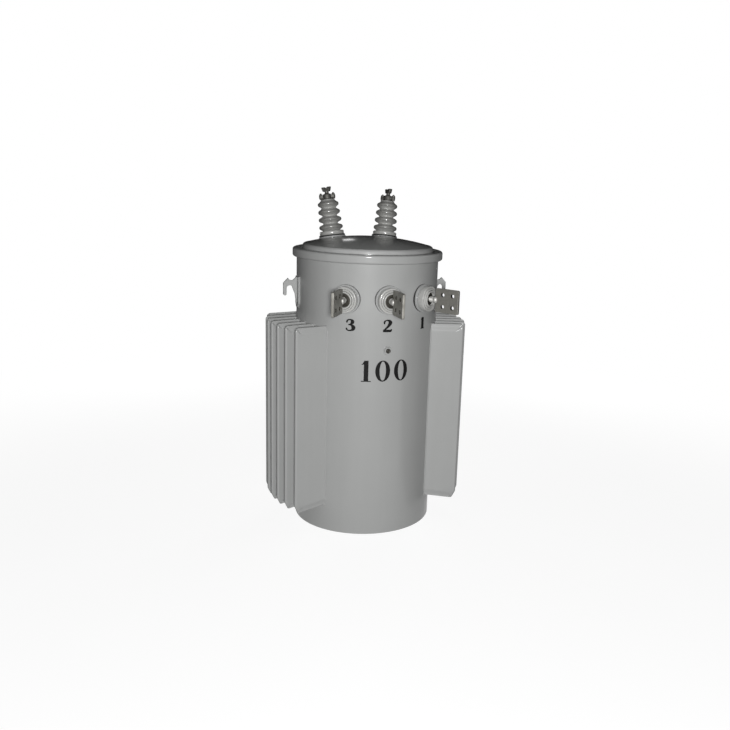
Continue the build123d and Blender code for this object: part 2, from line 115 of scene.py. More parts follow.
class TankSizes(bpy.types.PropertyGroup):
    radius: size("Radius", "Outer radius of the rolled wall", BASE_BOX[1].x + BASE_INSET)
    rim_height: size("Rim height", "Underside of the rim flange above the floor", WALL_BOX[1].z - RIM_FLANGE)
    crown_radius: size("Crown radius", "Radius of the sphere that the cover's crown is part of", 0.9915645)
    crown_top: size("Crown top", "Height of the middle of the crown", COVER_BOX[1].z)
    seam_width: size("Seam width", "Width of the wall's upright seam weld", 0.011)
    seam_bulge: size("Seam bulge", "Height of that seam weld", 0.0016)


class FinSizes(bpy.types.PropertyGroup):
    count: IntProperty(name="Count", description="Fins in each group", default=7, min=1, max=9)
    pitch: size("Pitch", "Distance between neighbouring fins", 0.0575)
    lead: size("Lead", "Distance of the first fin's plane in front of the tank's axis", 0.115)
    angle: turn("Direction", "Direction in which every fin of a group points, from the front", 74)
    tips: size("Tips", "Radius of the circle round the tank on which the outer edges lie", 0.4)
    thickness: size("Thickness", "Thickness of a fin's flat", 0.014)
    lip: size("Lip", "Thickness of the pinched top and bottom edges", 0.005)
    taper: size("Taper", "Depth over which the ends are pinched", 0.03)
    corner: size("Top corner", "Radius of the outer top corner", 0.014)
    bottom: size("Bottom", "Height of the lowest corner", FIN_BOX[0].z)
    top: size("Top", "Height of the top edge", FIN_BOX[1].z)
    slope: size("Slope", "Rise of the bottom edge towards the tank", 0.013)
    cut_in: size("Cut inwards", "Width of the cut lower corner", 0.015)
    cut_up: size("Cut upwards", "Height of the cut lower corner", 0.03)


class LowVoltageSizes(bpy.types.PropertyGroup):
    angle: turn("Angle", "Angle between neighbouring bushings, round the tank", 32.5)
    height: size("Height", "Height of the bushings' axes", (LV_BOX[0].z + LV_BOX[1].z) / 2)
    floor: size("Recess floor", "Wall to the floor of the recess that holds the nut", 0.027)
    recess: size("Recess", "Radius of that recess", 0.0262)
    nut: size("Nut", "Centre to corner of the hexagonal nut", 0.0173)
    stud: size("Stud", "Radius of the threaded stud", 0.012)
    body: size("Body", "Radius of the porcelain", 0.0485)
    gasket: size("Gasket", "Radius of the gasket", 0.0536)
    hub: size("Hub", "Radius of the rounded hub where stud and pad meet", 0.0128)
    pad_start: size("Pad start", "Wall to the pad's inner edge", 0.062)
    pad_end: size("Pad end", "Wall to the pad's outer edge", 0.166)
    pad_height: size("Pad height", "Height of the pad", 0.09)
    pad_thickness: size("Pad thickness", "Thickness of the pad", 0.0099)
    pad_corner: size("Pad corner", "Radius of the pad's corners", 0.006)
    hole: size("Hole", "Radius of the pad's holes", 0.0071)
    # Ring of painted shade round each hole, in the near-black finish.
    hole_shade_ring: size("Hole rim", "Width of the shade-painted ring round each hole", 0.0012)
    hole_spacing: size("Hole spacing", "Spacing of the pad's holes", 0.04445)
    tip_margin: size("Tip margin", "Outer edge to the outer pair of holes", 0.026)


class HighVoltageSizes(bpy.types.PropertyGroup):
    angle: turn("Angle", "Angle of each bushing round the tank, from the front", 141)
    radius: size("Radius", "Distance of each bushing's foot from the tank's axis", 0.176)
    stack: size("Stack", "Crown to the top of the porcelain", 0.15)
    foot_lift: size("Foot", "Crown to the foot of the porcelain", 0.009)
    seat: size("Seat", "Radius of the weld round the bushing's seat", 0.0522)
    gasket: size("Gasket", "Radius of the gasket", 0.0526)
    sheds: IntProperty(name="Sheds", description="Sheds of each cover bushing", default=4, min=1, max=8)
    shed_first: size("First shed", "Foot to the middle of the lowest shed", 0.031)
    shed_pitch: size("Shed pitch", "Distance between neighbouring sheds", 0.0305)
    shed_radius: size("Shed radius", "Radius of the lowest shed", 0.0478)
    shed_shrink: size("Shed shrink", "How much smaller each shed's radius is than the one below", 0.0019)
    # Painted shade: over this width at each shed's outer edge, the glaze colour is painted near-black.
    rim: size("Painted rim shade", "Width of the painted-shade rim of each shed", 0.0042)
    shed_nose: size("Shed edge", "Radius of the sheds' rounded edges", 0.0086)
    cap: size("Cap", "Radius of the metal cap", 0.02)
    bar_length: size("Bar length", "Length of the conductor clamp bar", 0.066)
    bar_width: size("Bar width", "Width of the conductor clamp bar", 0.016)
    neck: size("Neck", "Radius of the neck under the head", 0.008)
    head_up: size("Head height", "Porcelain to the underside of the head", 0.032)
    head_tall: size("Head depth", "Height of the forked head", 0.018)
    head_foot: size("Head foot", "Length of the head at its underside", 0.028)
    head_width: size("Head width", "Width of the forked head", 0.014)
    head_flare: turn("Head flare", "Lean of the head's two ends", 22)
    left_bar: turn("Left bar", "Direction of the left clamp bar on the plan", -20)
    right_bar: turn("Right bar", "Direction of the right clamp bar on the plan", -45)
    left_head: turn("Left head", "Direction of the left head on the plan", -45)
    right_head: turn("Right head", "Direction of the right head on the plan", -80)


class LugSizes(bpy.types.PropertyGroup):
    width: size("Width", "Width of a lifting lug's pad along the wall", 0.054)
    height: size("Height", "Height of the pad", 0.117)
    top: size("Top", "Height of the pad's upper edge", LUG_BOX[1].z)
    cut: size("Cut", "Size of the pad's cut lower corners", 0.016)


class HangerSizes(bpy.types.PropertyGroup):
    low: size("Low hanger", "Height of the lower hanger's middle", 0.3)
    pitch: size("Pitch", "Distance between the two hangers", 0.59055)
    gusset: size("Gusset", "Middle of the hanger to the middle of each gusset", 0.046)
    half: size("Half height", "Half of the gussets' height", 0.04)
    plate: size("Plate", "Thickness of the gussets and webs", 0.008)


class BossSizes(bpy.types.PropertyGroup):
    height: size("Height", "Height of the ground boss", 0.739)
    radius: size("Radius", "Radius of the boss", 0.014)
    out: size("Depth", "How far the boss stands out", 0.012)
    hole: size("Hole", "Radius of its hole", 0.0065)
    # This ring takes the near-black finish: partly bare metal, partly painted shade round the hole.
    bare_shade_ring: size("Bare ring", "Width of the unpainted ring round its hole", 0.003)
    depth: size("Hole depth", "Depth of its hole", 0.01)
    pitch: size("Pitch", "Pitch of the hole's thread", 0.00175)


class NumberSizes(bpy.types.PropertyGroup):
    tall: size("Tall numbers", "Height of the large number", 0.082)
    tall_foot: size("Tall foot", "Height of the large number's foot", 0.619)
    small: size("Small numbers", "Height of the terminal numbers", 0.044)
    small_foot: size("Small foot", "Height of the terminal numbers' feet", 0.811)
    gap: size("Gap", "Space between neighbouring digits of the large number", 0.016)
    spread: number("Spread", "Width of the digits against their drawn shape", 1.14)
    bold: number("Boldness", "Width of the strokes against their drawn width", 1.2)
    small_spread: number("Small spread", "The same for the terminal numbers", 1.3)
    small_bold: number("Small boldness", "The same for the terminal numbers", 1.75)
    lift: size("Paint thickness", "Height of the numbers above the wall", 0.0004)


class Colours(bpy.types.PropertyGroup):
    enamel: colour("Enamel", "Tank paint", (0.4, 0.405, 0.4))
    porcelain: colour("Porcelain", "Glaze of the wall bushings", (0.47, 0.47, 0.455))
    cover_porcelain: colour("Cover porcelain", "Glaze of the cover bushings", (0.39, 0.39, 0.375))
    # Brighter copy of the tinned metal for the hubs: partly bright tin, partly a painted highlight.
    bright: colour("Highlighted tin", "Rounded hubs of the wall bushings", (0.5, 0.495, 0.475))
    rubber: colour("Rubber", "Gaskets", (0.03, 0.03, 0.03))
    bronze: colour("Bronze", "Caps and clamps of the cover bushings", (0.11, 0.108, 0.1))
    tinned: colour("Tinned metal", "Spade pads and studs", (0.3, 0.293, 0.268))
    # Near-black finish for the nuts in the recesses and the insides of holes: partly dark metal, partly
    # painted shade that makes them read dark.
    recess_shade: colour("Recess shade", "Nuts in the recesses, and the insides of holes", (0.05, 0.047, 0.04))
    zinc: colour("Zinc", "Plated bolts", (0.45, 0.46, 0.47))
    ink: colour("Numbers", "Paint of the numbers", (0.008, 0.008, 0.008))


class StudioSettings(bpy.types.PropertyGroup):
    camera: position("Camera", "Place of the camera", (-0.9405, -3.079, 1.3604))
    look: position("Look", "Direction in which the camera looks", (0.3373, 0.9118, -0.234))
    roll: turn("Roll", "Turn of the camera about its own line of sight", 2.2365)
    lens: number("Lens", "Focal length on a 36 mm sensor", 39.66)
    shift_x: number("Shift across", "Sideways shift of the lens", -0.0618)
    shift_y: number("Shift up", "Upward shift of the lens", 0.013)
    key: number("Front lamp", "Power of the front lamp", 137)
    back: number("Back lamps", "Power of each of the two back lamps", 72)
    aim: position("Aim", "Point at which the large lamps are aimed", (0, 0, 0.62))
    front_turn: turn("Front turn", "Front lamp's place, round the object from the camera's", 2)
    back_turn: turn("Back turn", "Back lamps' places, each side of the camera's", 150)
    glint: position("Small lamp", "Place of the small lamp that glints on the cover", (0.927, 4.11, 2.41))
    glint_aim: position("Small lamp's aim", "Point on the cover at which it is aimed", (-0.1, -0.08, 1.13))
    glint_power: number("Small lamp power", "Power of that lamp", 0.5)
    ambient: number("Ambient", "Level of the light from all round", 0.025)
    floor: colour("Floor", "Colour of the floor", (0.2, 0.2, 0.2))


# ---- materials ----
class Number:
    """A shader socket that holds a number, so that shader maths is written as an expression."""

    def __init__(self, graph, socket):
        self.graph = graph
        self.socket = socket

    def maths(self, operation, first, second):
        return self.graph.number("ShaderNodeMath", {"operation": operation}, {0: first, 1: second})

    def __add__(self, other):
        return self.maths("ADD", self, other)

    def __sub__(self, other):
        return self.maths("SUBTRACT", self, other)

    def __rsub__(self, other):
        return self.maths("SUBTRACT", other, self)

    def __mul__(self, other):
        return self.maths("MULTIPLY", self, other)

    __radd__ = __add__
    __rmul__ = __mul__


class Graph:
    """The nodes of one material or world."""

    def __init__(self, owner):
        owner.use_nodes = True
        self.owner = owner
        self.tree = owner.node_tree
        self.tree.nodes.clear()

    def node(self, kind, settings=None, inputs=None):
        """Adds a node: its settings first, then the values or links of its sockets."""
        made = self.tree.nodes.new(kind)
        for name, value in (settings or {}).items():
            setattr(made, name, value)
        for name, value in (inputs or {}).items():
            value = value.socket if isinstance(value, Number) else value
            if isinstance(value, bpy.types.NodeSocket):
                self.tree.links.new(value, made.inputs[name])
            else:
                made.inputs[name].default_value = value
        return made

    def number(self, kind, settings=None, inputs=None, output=0):
        """Adds a node whose output is a number."""
        return Number(self, self.node(kind, settings, inputs).outputs[output])

    def place(self):
        """Coordinates in metres, fixed to the object."""
        return self.node("ShaderNodeTexCoord").outputs["Object"]

    def noise(self, scale, detail=3, roughness=0.5, at=None):
        """Noise from 0 to 1, with so many grains a metre."""
        sockets = {"Vector": at or self.place(), "Scale": scale, "Detail": detail, "Roughness": roughness}
        return self.number("ShaderNodeTexNoise", None, sockets)

    def stretched(self, scales):
        """Coordinates with each direction scaled on its own."""
        sockets = {"Vector": self.place(), "Scale": scales}
        return self.node("ShaderNodeMapping", {"vector_type": "POINT"}, sockets).outputs[0]

    def ramp(self, value, low, high):
        """0 under low, 1 over high, smooth between."""
        sockets = {"Value": value, "From Min": low, "From Max": high}
        return self.number("ShaderNodeMapRange", {"interpolation_type": "SMOOTHSTEP"}, sockets)

    def mix(self, factor, first, second):
        """Colour between two colours."""
        return self.node("ShaderNodeMix", {"data_type": "RGBA"}, {0: factor, 6: first, 7: second}).outputs[2]

    def height(self, *parts):
        """Normal from (height, distance in metres) pairs, over rounded edges."""
        normal = self.node("ShaderNodeBevel", {"samples": 4}, {"Radius": 0.0012}).outputs[0]
        for value, distance in parts:
            sockets = {"Height": value, "Distance": distance, "Normal": normal}
            normal = self.node("ShaderNodeBump", None, sockets).outputs[0]
        return normal

    def finish(self, shader, kind="Material"):
        """Links the last shader to the output, and hands back the material or world."""
        self.node(f"ShaderNodeOutput{kind}", None, {"Surface": shader.outputs[0]})
        return self.owner

    def surface(self, sockets):
        return self.finish(self.node("ShaderNodeBsdfPrincipled", None, sockets))


def rgba(value, gain=1.0):
    return (value[0] * gain, value[1] * gain, value[2] * gain, 1)


def enamel(name, shade, coat, coat_roughness):
    """Semi-gloss enamel: a slight orange peel, faint clouding, and a little dust where it lies flat."""
    graph = Graph(bpy.data.materials.new(name))
    cloud = graph.noise(5.5, 4)
    runs = graph.noise(1.0, 4, at=graph.stretched((34, 34, 2.2)))
    normal = graph.node("ShaderNodeNewGeometry").outputs["Normal"]
    up = graph.ramp(graph.number("ShaderNodeSeparateXYZ", None, {0: normal}, 2), 0.55, 1.0)
    dust = up * graph.ramp(graph.noise(42, 5, 0.65), 0.42, 0.68)
    tone = graph.mix(cloud * 0.6 + runs * 0.4, rgba(shade, 0.93), rgba(shade, 1.06))
    dusted = graph.mix(dust * 0.15, tone, rgba((0.3, 0.295, 0.28)))
    peel = graph.noise(240, 2, 0.4)
    wave = graph.noise(11, 1)
    gloss = 0.4 + cloud * 0.08 + dust * 0.15
    normal = graph.height((peel, 0.00009), (wave, 0.001))
    return graph.surface(
        {
            "Base Color": dusted,
            "Roughness": gloss,
            "Normal": normal,
            "Specular IOR Level": 0.22,
            "Coat Weight": coat,
            "Coat Roughness": coat_roughness,
        }
    )


def glaze(name, shade):
    """Glazed porcelain: clear glaze over a speckled body, with painted shade (a near-black colour) where the
    mesh's rim value is high.
    """
    graph = Graph(bpy.data.materials.new(name))
    cloud = graph.noise(30, 3)
    speck = graph.ramp(graph.noise(620, 2, 0.6), 0.66, 0.74)
    body = graph.mix(cloud, rgba(shade, 0.92), rgba(shade, 1.06))
    specked = graph.mix(speck * 0.35, body, rgba((0.22, 0.2, 0.17)))
    # Painted shade: the glaze colour turns near-black where the rim value is high, at the sheds' outer edges.
    rim = Number(graph, graph.node("ShaderNodeAttribute", {"attribute_name": "rim"}).outputs["Fac"])
    rim_shaded_glaze = graph.mix(rim * (0.4 + cloud * 0.25), specked, rgba((0.07, 0.068, 0.06)))
    normal = graph.height((graph.noise(46, 2), 0.0005))
    return graph.surface(
        {
            "Base Color": rim_shaded_glaze,
            "Roughness": 0.2 + cloud * 0.1,
            "Normal": normal,
            "Coat Weight": 0.5,
            "Coat Roughness": 0.06,
        }
    )


def nitrile(shade):
    """Black gasket rubber with a dull bloom."""
    graph = Graph(bpy.data.materials.new("gasket_rubber"))
    bloom = graph.ramp(graph.noise(90, 4, 0.6), 0.4, 0.75)
    tone = graph.mix(bloom * 0.35, rgba(shade), rgba((0.06, 0.058, 0.055)))
    normal = graph.height((graph.noise(700, 2), 0.0002))
    return graph.surface(
        {"Base Color": tone, "Roughness": 0.55 + bloom * 0.25, "Normal": normal, "Specular IOR Level": 0.3}
    )


def metal(name, shade, stain, rough, grain, metallic=0.85):
    """Bare or plated metal: cast or plated grain, darker stains in patches."""
    graph = Graph(bpy.data.materials.new(name))
    patch = graph.ramp(graph.noise(38, 5, 0.6), 0.35, 0.7)
    fine = graph.noise(grain, 3, 0.6)
    tone = graph.mix(patch * 0.6, rgba(shade), rgba(stain))
    shaded = graph.mix(fine * 0.35, tone, rgba(shade, 1.25))
    normal = graph.height((fine, 0.00018))
    return graph.surface(
        {
            "Base Color": shaded,
            "Metallic": metallic - patch * 0.25,
            "Roughness": rough + patch * 0.16 + fine * 0.08,
            "Normal": normal,
        }
    )


def ink(shade):
    """Stencilled black paint, a little thinner in places."""
    graph = Graph(bpy.data.materials.new("number_paint"))
    thin = graph.ramp(graph.noise(160, 4, 0.6), 0.5, 0.8)
    tone = graph.mix(thin * 0.2, rgba(shade), rgba((0.03, 0.03, 0.03)))
    normal = graph.height((thin, 0.00006))
    return graph.surface(
        {"Base Color": tone, "Roughness": 0.6 + thin * 0.2, "Normal": normal, "Specular IOR Level": 0.12}
    )


FINISH = {}


def finishes(colours):
    """Makes each material once."""
    if not FINISH:
        FINISH["tank_paint"] = enamel("tank_enamel", colours.enamel, 0.32, 0.1)
        FINISH["cover_paint"] = enamel("cover_enamel", colours.enamel, 0.8, 0.15)
        FINISH["porcelain"] = glaze("glazed_porcelain", colours.porcelain)
        FINISH["cover_porcelain"] = glaze("glazed_cover_porcelain", colours.cover_porcelain)
        FINISH["bright"] = metal("hub_highlight_tin", colours.bright, (0.3, 0.295, 0.28), 0.42, 420)
        FINISH["rubber"] = nitrile(colours.rubber)
        FINISH["bronze"] = metal("dull_bronze", colours.bronze, (0.03, 0.029, 0.026), 0.45, 300)
        FINISH["tinned_metal"] = metal("tinned_casting", colours.tinned, (0.13, 0.125, 0.11), 0.4, 420)
        FINISH["recess_shade"] = metal("recess_shade_metal", colours.recess_shade, (0.02, 0.018, 0.015), 0.4, 420)
        FINISH["zinc_steel"] = metal("zinc_plate", colours.zinc, (0.26, 0.26, 0.25), 0.34, 520)
        FINISH["ink"] = ink(colours.ink)
    return FINISH


# ---- places on the tank ----
def level(angle):
    """Level directions at a place round the tank: away from the axis, and along the wall."""
    return Vector((sin(angle), -cos(angle), 0)), Vector((cos(angle), sin(angle), 0))


def on_wall(angle, radius, height):
    """Frame at a place round the tank: x along the wall, y up, z away from the axis."""
    out, along = level(angle)
    return framed(along, Vector((0, 0, 1)), out, Vector((radius * out.x, radius * out.y, height)))


def polar(radius, turned):
    return radius * cos(turned), radius * sin(turned)


def framed(x, y, z, origin):
    made = Matrix.Identity(4)
    for column, axis in enumerate((x, y, z, origin)):
        for row in range(3):
            made[row][column] = axis[row]
    return made


def on_crown(tank, side, hv, lift):
    """Frame square to the crown at a cover bushing's foot, raised by lift."""
    angle = side * hv.angle
    lean = asin(hv.radius / tank.crown_radius)
    normal = Vector((sin(lean) * sin(angle), -sin(lean) * cos(angle), cos(lean)))
    centre = Vector((0, 0, tank.crown_top - tank.crown_radius))
    _, along = level(angle)
    return framed(along, normal.cross(along), normal, centre + (tank.crown_radius + lift) * normal)


def facing(seat, direction):
    """The same frame with its x direction turned towards a direction on the plan."""
    normal = seat.col[2].xyz
    wanted = Vector((cos(direction), sin(direction), 0))
    along = (wanted - wanted.dot(normal) * normal).normalized()
    return framed(along, normal.cross(along), normal, seat.col[3].xyz)


# ---- mesh making ----
class Shape:
    """Points and faces of one piece, gathered before they become its mesh."""

    def __init__(self):
        self.points = []
        self.faces = []

    def grid(self, rows, ring=False, loop=False, caps=False):
        """Adds a sheet through rows of points: ring joins each row's ends, loop the first and last rows."""
        rows = np.asarray(rows, float)
        start = len(self.points)
        count, width = rows.shape[:2]
        self.points.extend(map(tuple, rows.reshape(-1, 3)))
        for i in range(count if loop else count - 1):
            for j in range(width if ring else width - 1):
                a, b = start + i * width, start + (i + 1) % count * width
                self.faces.append((a + j, a + (j + 1) % width, b + (j + 1) % width, b + j))
        if caps:
            self.faces.append(tuple(start + j for j in reversed(range(width))))
            self.faces.append(tuple(start + (count - 1) * width + j for j in range(width)))

    def lathe(self, seat, profile, steps, caps=True):
        """Turns a profile of (radius, height) about the seat's normal."""
        turns = np.linspace(0, 2 * pi, steps, endpoint=False)
        rows = [[seat @ Vector((*polar(r, t), h)) for t in turns] for r, h in profile]
        self.grid(rows, ring=True, caps=caps)

    def prism(self, seat, outline, levels):
        """Stacks copies of an outline: each level is (height, inset)."""
        rows = [[seat @ Vector((x, y, h)) for x, y in shrunk(outline, inset)] for h, inset in levels]
        self.grid(rows, ring=True, caps=True)

    def thread(self, seat, radius, start, end, pitch, steps=40):
        """Threaded rod along the seat's normal, with a helical groove."""
        depth = 0.55 * pitch
        count = max(2, ceil((end - start) / pitch * 6))
        rows = []
        for i in range(count + 1):
            h = start + (end - start) * i / count
            row = []
            for j in range(steps):
                t = 2 * pi * j / steps
                phase = (h / pitch - j / steps) % 1
                r = radius - depth * abs(2 * phase - 1)
                row.append(seat @ Vector((*polar(r, t), h)))
            rows.append(row)
        self.grid(rows, ring=True, caps=True)

    def plate(self, seat, outline, holes, thickness, edge):
        """Adds a flat plate with round holes and softened edges, centred on the seat."""
        curve = bpy.data.curves.new("plate", "CURVE")
        curve.dimensions = "2D"
        curve.fill_mode = "BOTH"
        curve.extrude = thickness / 2 - edge
        curve.bevel_depth = edge
        curve.bevel_resolution = 3
        curve.offset = -edge
        for ring in (outline, *holes):
            spline = curve.splines.new("POLY")
            spline.points.add(len(ring) - 1)
            for point, (x, y) in zip(spline.points, ring):
                point.co = (x, y, 0, 1)
            spline.use_cyclic_u = True
        shaper = bpy.data.objects.new("plate", curve)
        mesh = bpy.data.meshes.new_from_object(shaper)
        mesh.transform(seat)
        start = len(self.points)
        self.points.extend(tuple(v.co) for v in mesh.vertices)
        self.faces.extend(tuple(start + k for k in face.vertices) for face in mesh.polygons)
        bpy.data.objects.remove(shaper)
        bpy.data.curves.remove(curve)
        bpy.data.meshes.remove(mesh)

    def mesh(self, name, material):
        """Mesh of the points and faces gathered so far."""
        made = bpy.data.meshes.new(name)
        made.from_pydata(self.points, [], self.faces)
        made.materials.append(material)
        return made

    def piece(self, name, slot, material=None, angle=40, replaces=()):
        """Makes the object, shades it, and fixes it to the tank."""
        mesh = self.mesh(name, FINISH[material or slot])
        sheet = bmesh.new()
        sheet.from_mesh(mesh)
        bmesh.ops.recalc_face_normals(sheet, faces=sheet.faces)
        sheet.to_mesh(mesh)
        sheet.free()
        mesh.polygons.foreach_set("use_smooth", [True] * len(mesh.polygons))
        mesh.set_sharp_from_angle(angle=radians(angle))
        made = linked(name, mesh)
        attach(made, "root")
        if replaces:
            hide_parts(*replaces)
        return made


def linked(name, data):
    """Object in the scene for a mesh, a lamp or a camera."""
    made = bpy.data.objects.new(name, data)
    bpy.context.scene.collection.objects.link(made)
    return made


def shrunk(outline, inset):
    """A closed convex outline with each corner moved inwards by inset, measured square to its sides."""
    count = len(outline)
    made = []
    for i, (x, y) in enumerate(outline):
        ax, ay = x - outline[i - 1][0], y - outline[i - 1][1]
        bx, by = outline[(i + 1) % count][0] - x, outline[(i + 1) % count][1] - y
        la, lb = hypot(ax, ay), hypot(bx, by)
        nx, ny = -ay / la - by / lb, ax / la + bx / lb
        scale = 2 * inset / (nx * nx + ny * ny)
        made.append((x + nx * scale, y + ny * scale))
    return made


def oblong(length, width, corner, steps=8):
    """Rectangle with round corners, anticlockwise."""
    made = []
    for sx, sy, first in ((1, -1, -90), (1, 1, 0), (-1, 1, 90), (-1, -1, 180)):
        for k in range(steps + 1):
            t = radians(first + 90 * k / steps)
            x = sx * (length / 2 - corner) + corner * cos(t)
            y = sy * (width / 2 - corner) + corner * sin(t)
            made.append((x, y))
    return made


def bolt_head(shape, seat, radius, start, end):
    """Hexagon with chamfered corners, between two heights."""
    depth = end - start
    steps = 48
    rows = []
    for share, trim in ((0, 0.93), (0.12, 1.0), (0.8, 1.0), (0.93, 0.95), (1, 0.86)):
        row = []
        for j in range(steps):
            t = 2 * pi * j / steps
            side = radius * cos(pi / 6) / cos((t + pi / 6) % (pi / 3) - pi / 6)
            r = min(side, radius * trim)
            row.append(seat @ Vector((*polar(r, t), start + depth * share)))
        rows.append(row)
    shape.grid(rows, ring=True, caps=True)


def circle(x, y, radius, steps=32):
    spots = (polar(radius, 2 * pi * k / steps) for k in range(steps))
    return [(x + u, y + v) for u, v in spots]


def smooth_line(knots, steps=10):
    """Points along a smooth line through the knots; each knot may carry more numbers than its place."""
    knots = np.asarray(knots, float)
    padded = np.vstack((2 * knots[0] - knots[1], knots, 2 * knots[-1] - knots[-2]))
    made = []
    for i in range(1, len(padded) - 2):
        p, q, r, s = padded[i - 1 : i + 3]
        for k in range(steps):
            t = k / steps
            bend, twist = 2 * p - 5 * q + 4 * r - s, 3 * q - p - 3 * r + s
            made.append(0.5 * (2 * q + (r - p) * t + bend * t**2 + twist * t**3))
    made.append(knots[-1])
    return np.array(made)


def weld(shape, path, outward, width, height, ripple, seed, closed=False):
    """Adds a rippled weld bead along a path; outward is the direction in which it swells at each point."""
    path, outward = np.asarray(path, float), np.asarray(outward, float)
    if closed:
        path, outward = np.vstack((path, path[:1])), np.vstack((outward, outward[:1]))
    steps = np.linalg.norm(np.diff(path, axis=0), axis=1)
    along = np.concatenate(([0], np.cumsum(steps)))
    count = max(8, int(along[-1] / ripple * 3))
    places = np.linspace(0, along[-1], count + 1)[: count if closed else count + 1]
    spots = np.stack([np.interp(places, along, path[:, k]) for k in range(3)], 1)
    out = np.stack([np.interp(places, along, outward[:, k]) for k in range(3)], 1)
    out /= np.linalg.norm(out, axis=1, keepdims=True)
    ahead = np.gradient(spots, axis=0)
    if closed:
        ahead[0] = ahead[-1] = spots[1] - spots[-1]
    side = np.cross(ahead, out)
    side /= np.linalg.norm(side, axis=1, keepdims=True)
    wander = np.random.default_rng(seed).normal(0, 1, count + 9)
    wander = np.convolve(wander, np.ones(9) / 9, "valid")[: len(places)]
    phase = (places / ripple) % 1
    swell = 1 + 0.16 * (phase - 0.5) + 0.10 * wander
    if not closed:
        swell *= np.clip(np.minimum(places, along[-1] - places) / (1.2 * width) + 0.25, 0, 1) ** 0.5
    rows = []
    for k in range(10):
        wide, tall = width / 2 * cos(2 * pi * k / 10), height * sin(2 * pi * k / 10)
        rows.append(spots + side * (wide * swell)[:, None] + out * (tall * swell)[:, None])
    shape.grid(np.stack(rows, 1), ring=True, loop=closed, caps=not closed)


def ring_weld(shape, seat, radius, steps, bead, seed, curve=0):
    """Adds a bead round a circle about the seat's axis; curve is the wall's, across the seat."""
    turns = np.linspace(0, 2 * pi, steps, endpoint=False)
    spots = [seat @ Vector((*polar(radius, t), -curve * (radius * cos(t)) ** 2 / 2)) for t in turns]
    swells = [seat.to_3x3() @ Vector((*polar(1, t), 1)) for t in turns]
    weld(shape, spots, swells, *bead, closed=True, seed=seed)


# ---- cooling fins ----
def fin_plane(fins, side, number):
    """A fin's outward direction, the direction across it, and where its plane lies in that direction."""
    out, across = level(side * fins.angle)
    return out, across, side * ((number - 1) * fins.pitch - fins.lead)


def fin_outline(fins, root, reach, inset):
    """Edge line of a fin's face, from the tank round to the tank, drawn in by inset: (out, height) points."""
    reach -= inset
    top = fins.top - inset
    low = fins.bottom + inset
    corner = max(fins.corner - inset, 0.003)
    points = [(root + (reach - corner - root) * k / 6, top) for k in range(6)]
    for k in range(17):
        t = radians(90 - 90 * k / 16)
        points.append((reach - corner + corner * cos(t), top - corner + corner * sin(t)))
    knee = low + fins.cut_up
    drop = top - corner - knee
    points += [(reach, top - corner - drop * k / 24) for k in range(1, 24)]
    soft = 0.006
    toe = (reach - fins.cut_in, low)
    heel = (root, low + fins.slope)
    lean = Vector((toe[0] - reach, toe[1] - knee)).normalized()
    back = Vector((heel[0] - toe[0], heel[1] - toe[1])).normalized()
    for corner_at, before, after in (((reach, knee), Vector((0, -1)), lean), (toe, lean, back)):
        for k in range(7):
            t = k / 6
            bent = before * (-soft * (1 - t) ** 2) + after * (soft * t * t)
            points.append((corner_at[0] + bent.x, corner_at[1] + bent.y))
    points += [tuple(a + (b - a) * k / 6 for a, b in zip(toe, heel)) for k in range(1, 7)]
    return np.array(points)


# Depths inside a fin's edge line at which its thickness is set.
FIN_DEPTHS = (0, 0.0006, 0.0014, 0.0026, 0.0042, 0.0062, 0.009, 0.0125, 0.016, 0.0195)
FIN_DEPTHS += (0.023, 0.026, 0.028, 0.03, 0.036)


def rounded(share):
    """Rises from 0 to 1 as a quarter circle does, and stays 1 from a share of 1."""
    return sqrt(max(0, 1 - max(0, 1 - share) ** 2))


def smooth(share):
    """Rises from 0 to 1 with a soft start and end."""
    share = np.clip(share, 0, 1)
    return share * share * (3 - 2 * share)


def cooling_fin(name, fins, tank, side, number):
    """Pressed fin: flat faces, a rounded outer edge, and ends pinched down to a thin seam."""
    out, across, offset = fin_plane(fins, side, number)
    half, lip = fins.thickness / 2, fins.lip / 2
    root = sqrt(tank.radius**2 - (abs(offset) + half) ** 2) - 0.004
    reach = sqrt(fins.tips**2 - offset**2)
    outer = fin_outline(fins, root, reach, 0)
    inner = fin_outline(fins, root, reach, fins.taper)
    ahead = np.gradient(outer, axis=0)
    upright = np.abs(ahead[:, 1]) / np.maximum(np.hypot(ahead[:, 0], ahead[:, 1]), 1e-9)
    upright = smooth((upright - 0.55) / 0.4)
    edge_depth, seam_depth, seam_end = 0.0065, 0.0022, 0.006
    rows = []
    for depth in FIN_DEPTHS:
        round_edge = half * rounded(depth / edge_depth)
        seam = lip * rounded(depth / seam_depth)
        pinched = seam + (half - lip) * smooth((depth - seam_end) / (fins.taper - seam_end))
        line = outer + (inner - outer) * (depth / fins.taper)
        rows.append((line, upright * round_edge + (1 - upright) * pinched))
    shape = Shape()
    sheet = []
    for sign, order in ((-1, rows[:0:-1]), (1, rows)):
        for line, thick in order:
            row = []
            for (u, z), t in zip(line, thick):
                spot = out * u + across * (offset + sign * t)
                row.append((spot.x, spot.y, z))
            sheet.append(row)
    shape.grid(sheet)
    width, last = len(outer), (len(sheet) - 1) * len(outer)
    shape.faces.append(tuple(range(width)))
    shape.faces.append(tuple(reversed(range(last, last + width))))
    shape.piece(f"{name}_pressed", "tank_paint", angle=60, replaces=(name,))


class TRANSFORMER_OT_cooling_fins(bpy.types.Operator):
    """Pressed cooling fins at both sides of the tank"""

    bl_idname = "transformer.cooling_fins"
    bl_label = "Cooling fins"

    def execute(self, context):
        fins, tank = context.scene.transformer_fins, context.scene.transformer_tank
        for side, word in SIDES:
            for number in range(1, fins.count + 1):
                cooling_fin(f"{word}_fin_{number}", fins, tank, side, number)
        return {"FINISHED"}


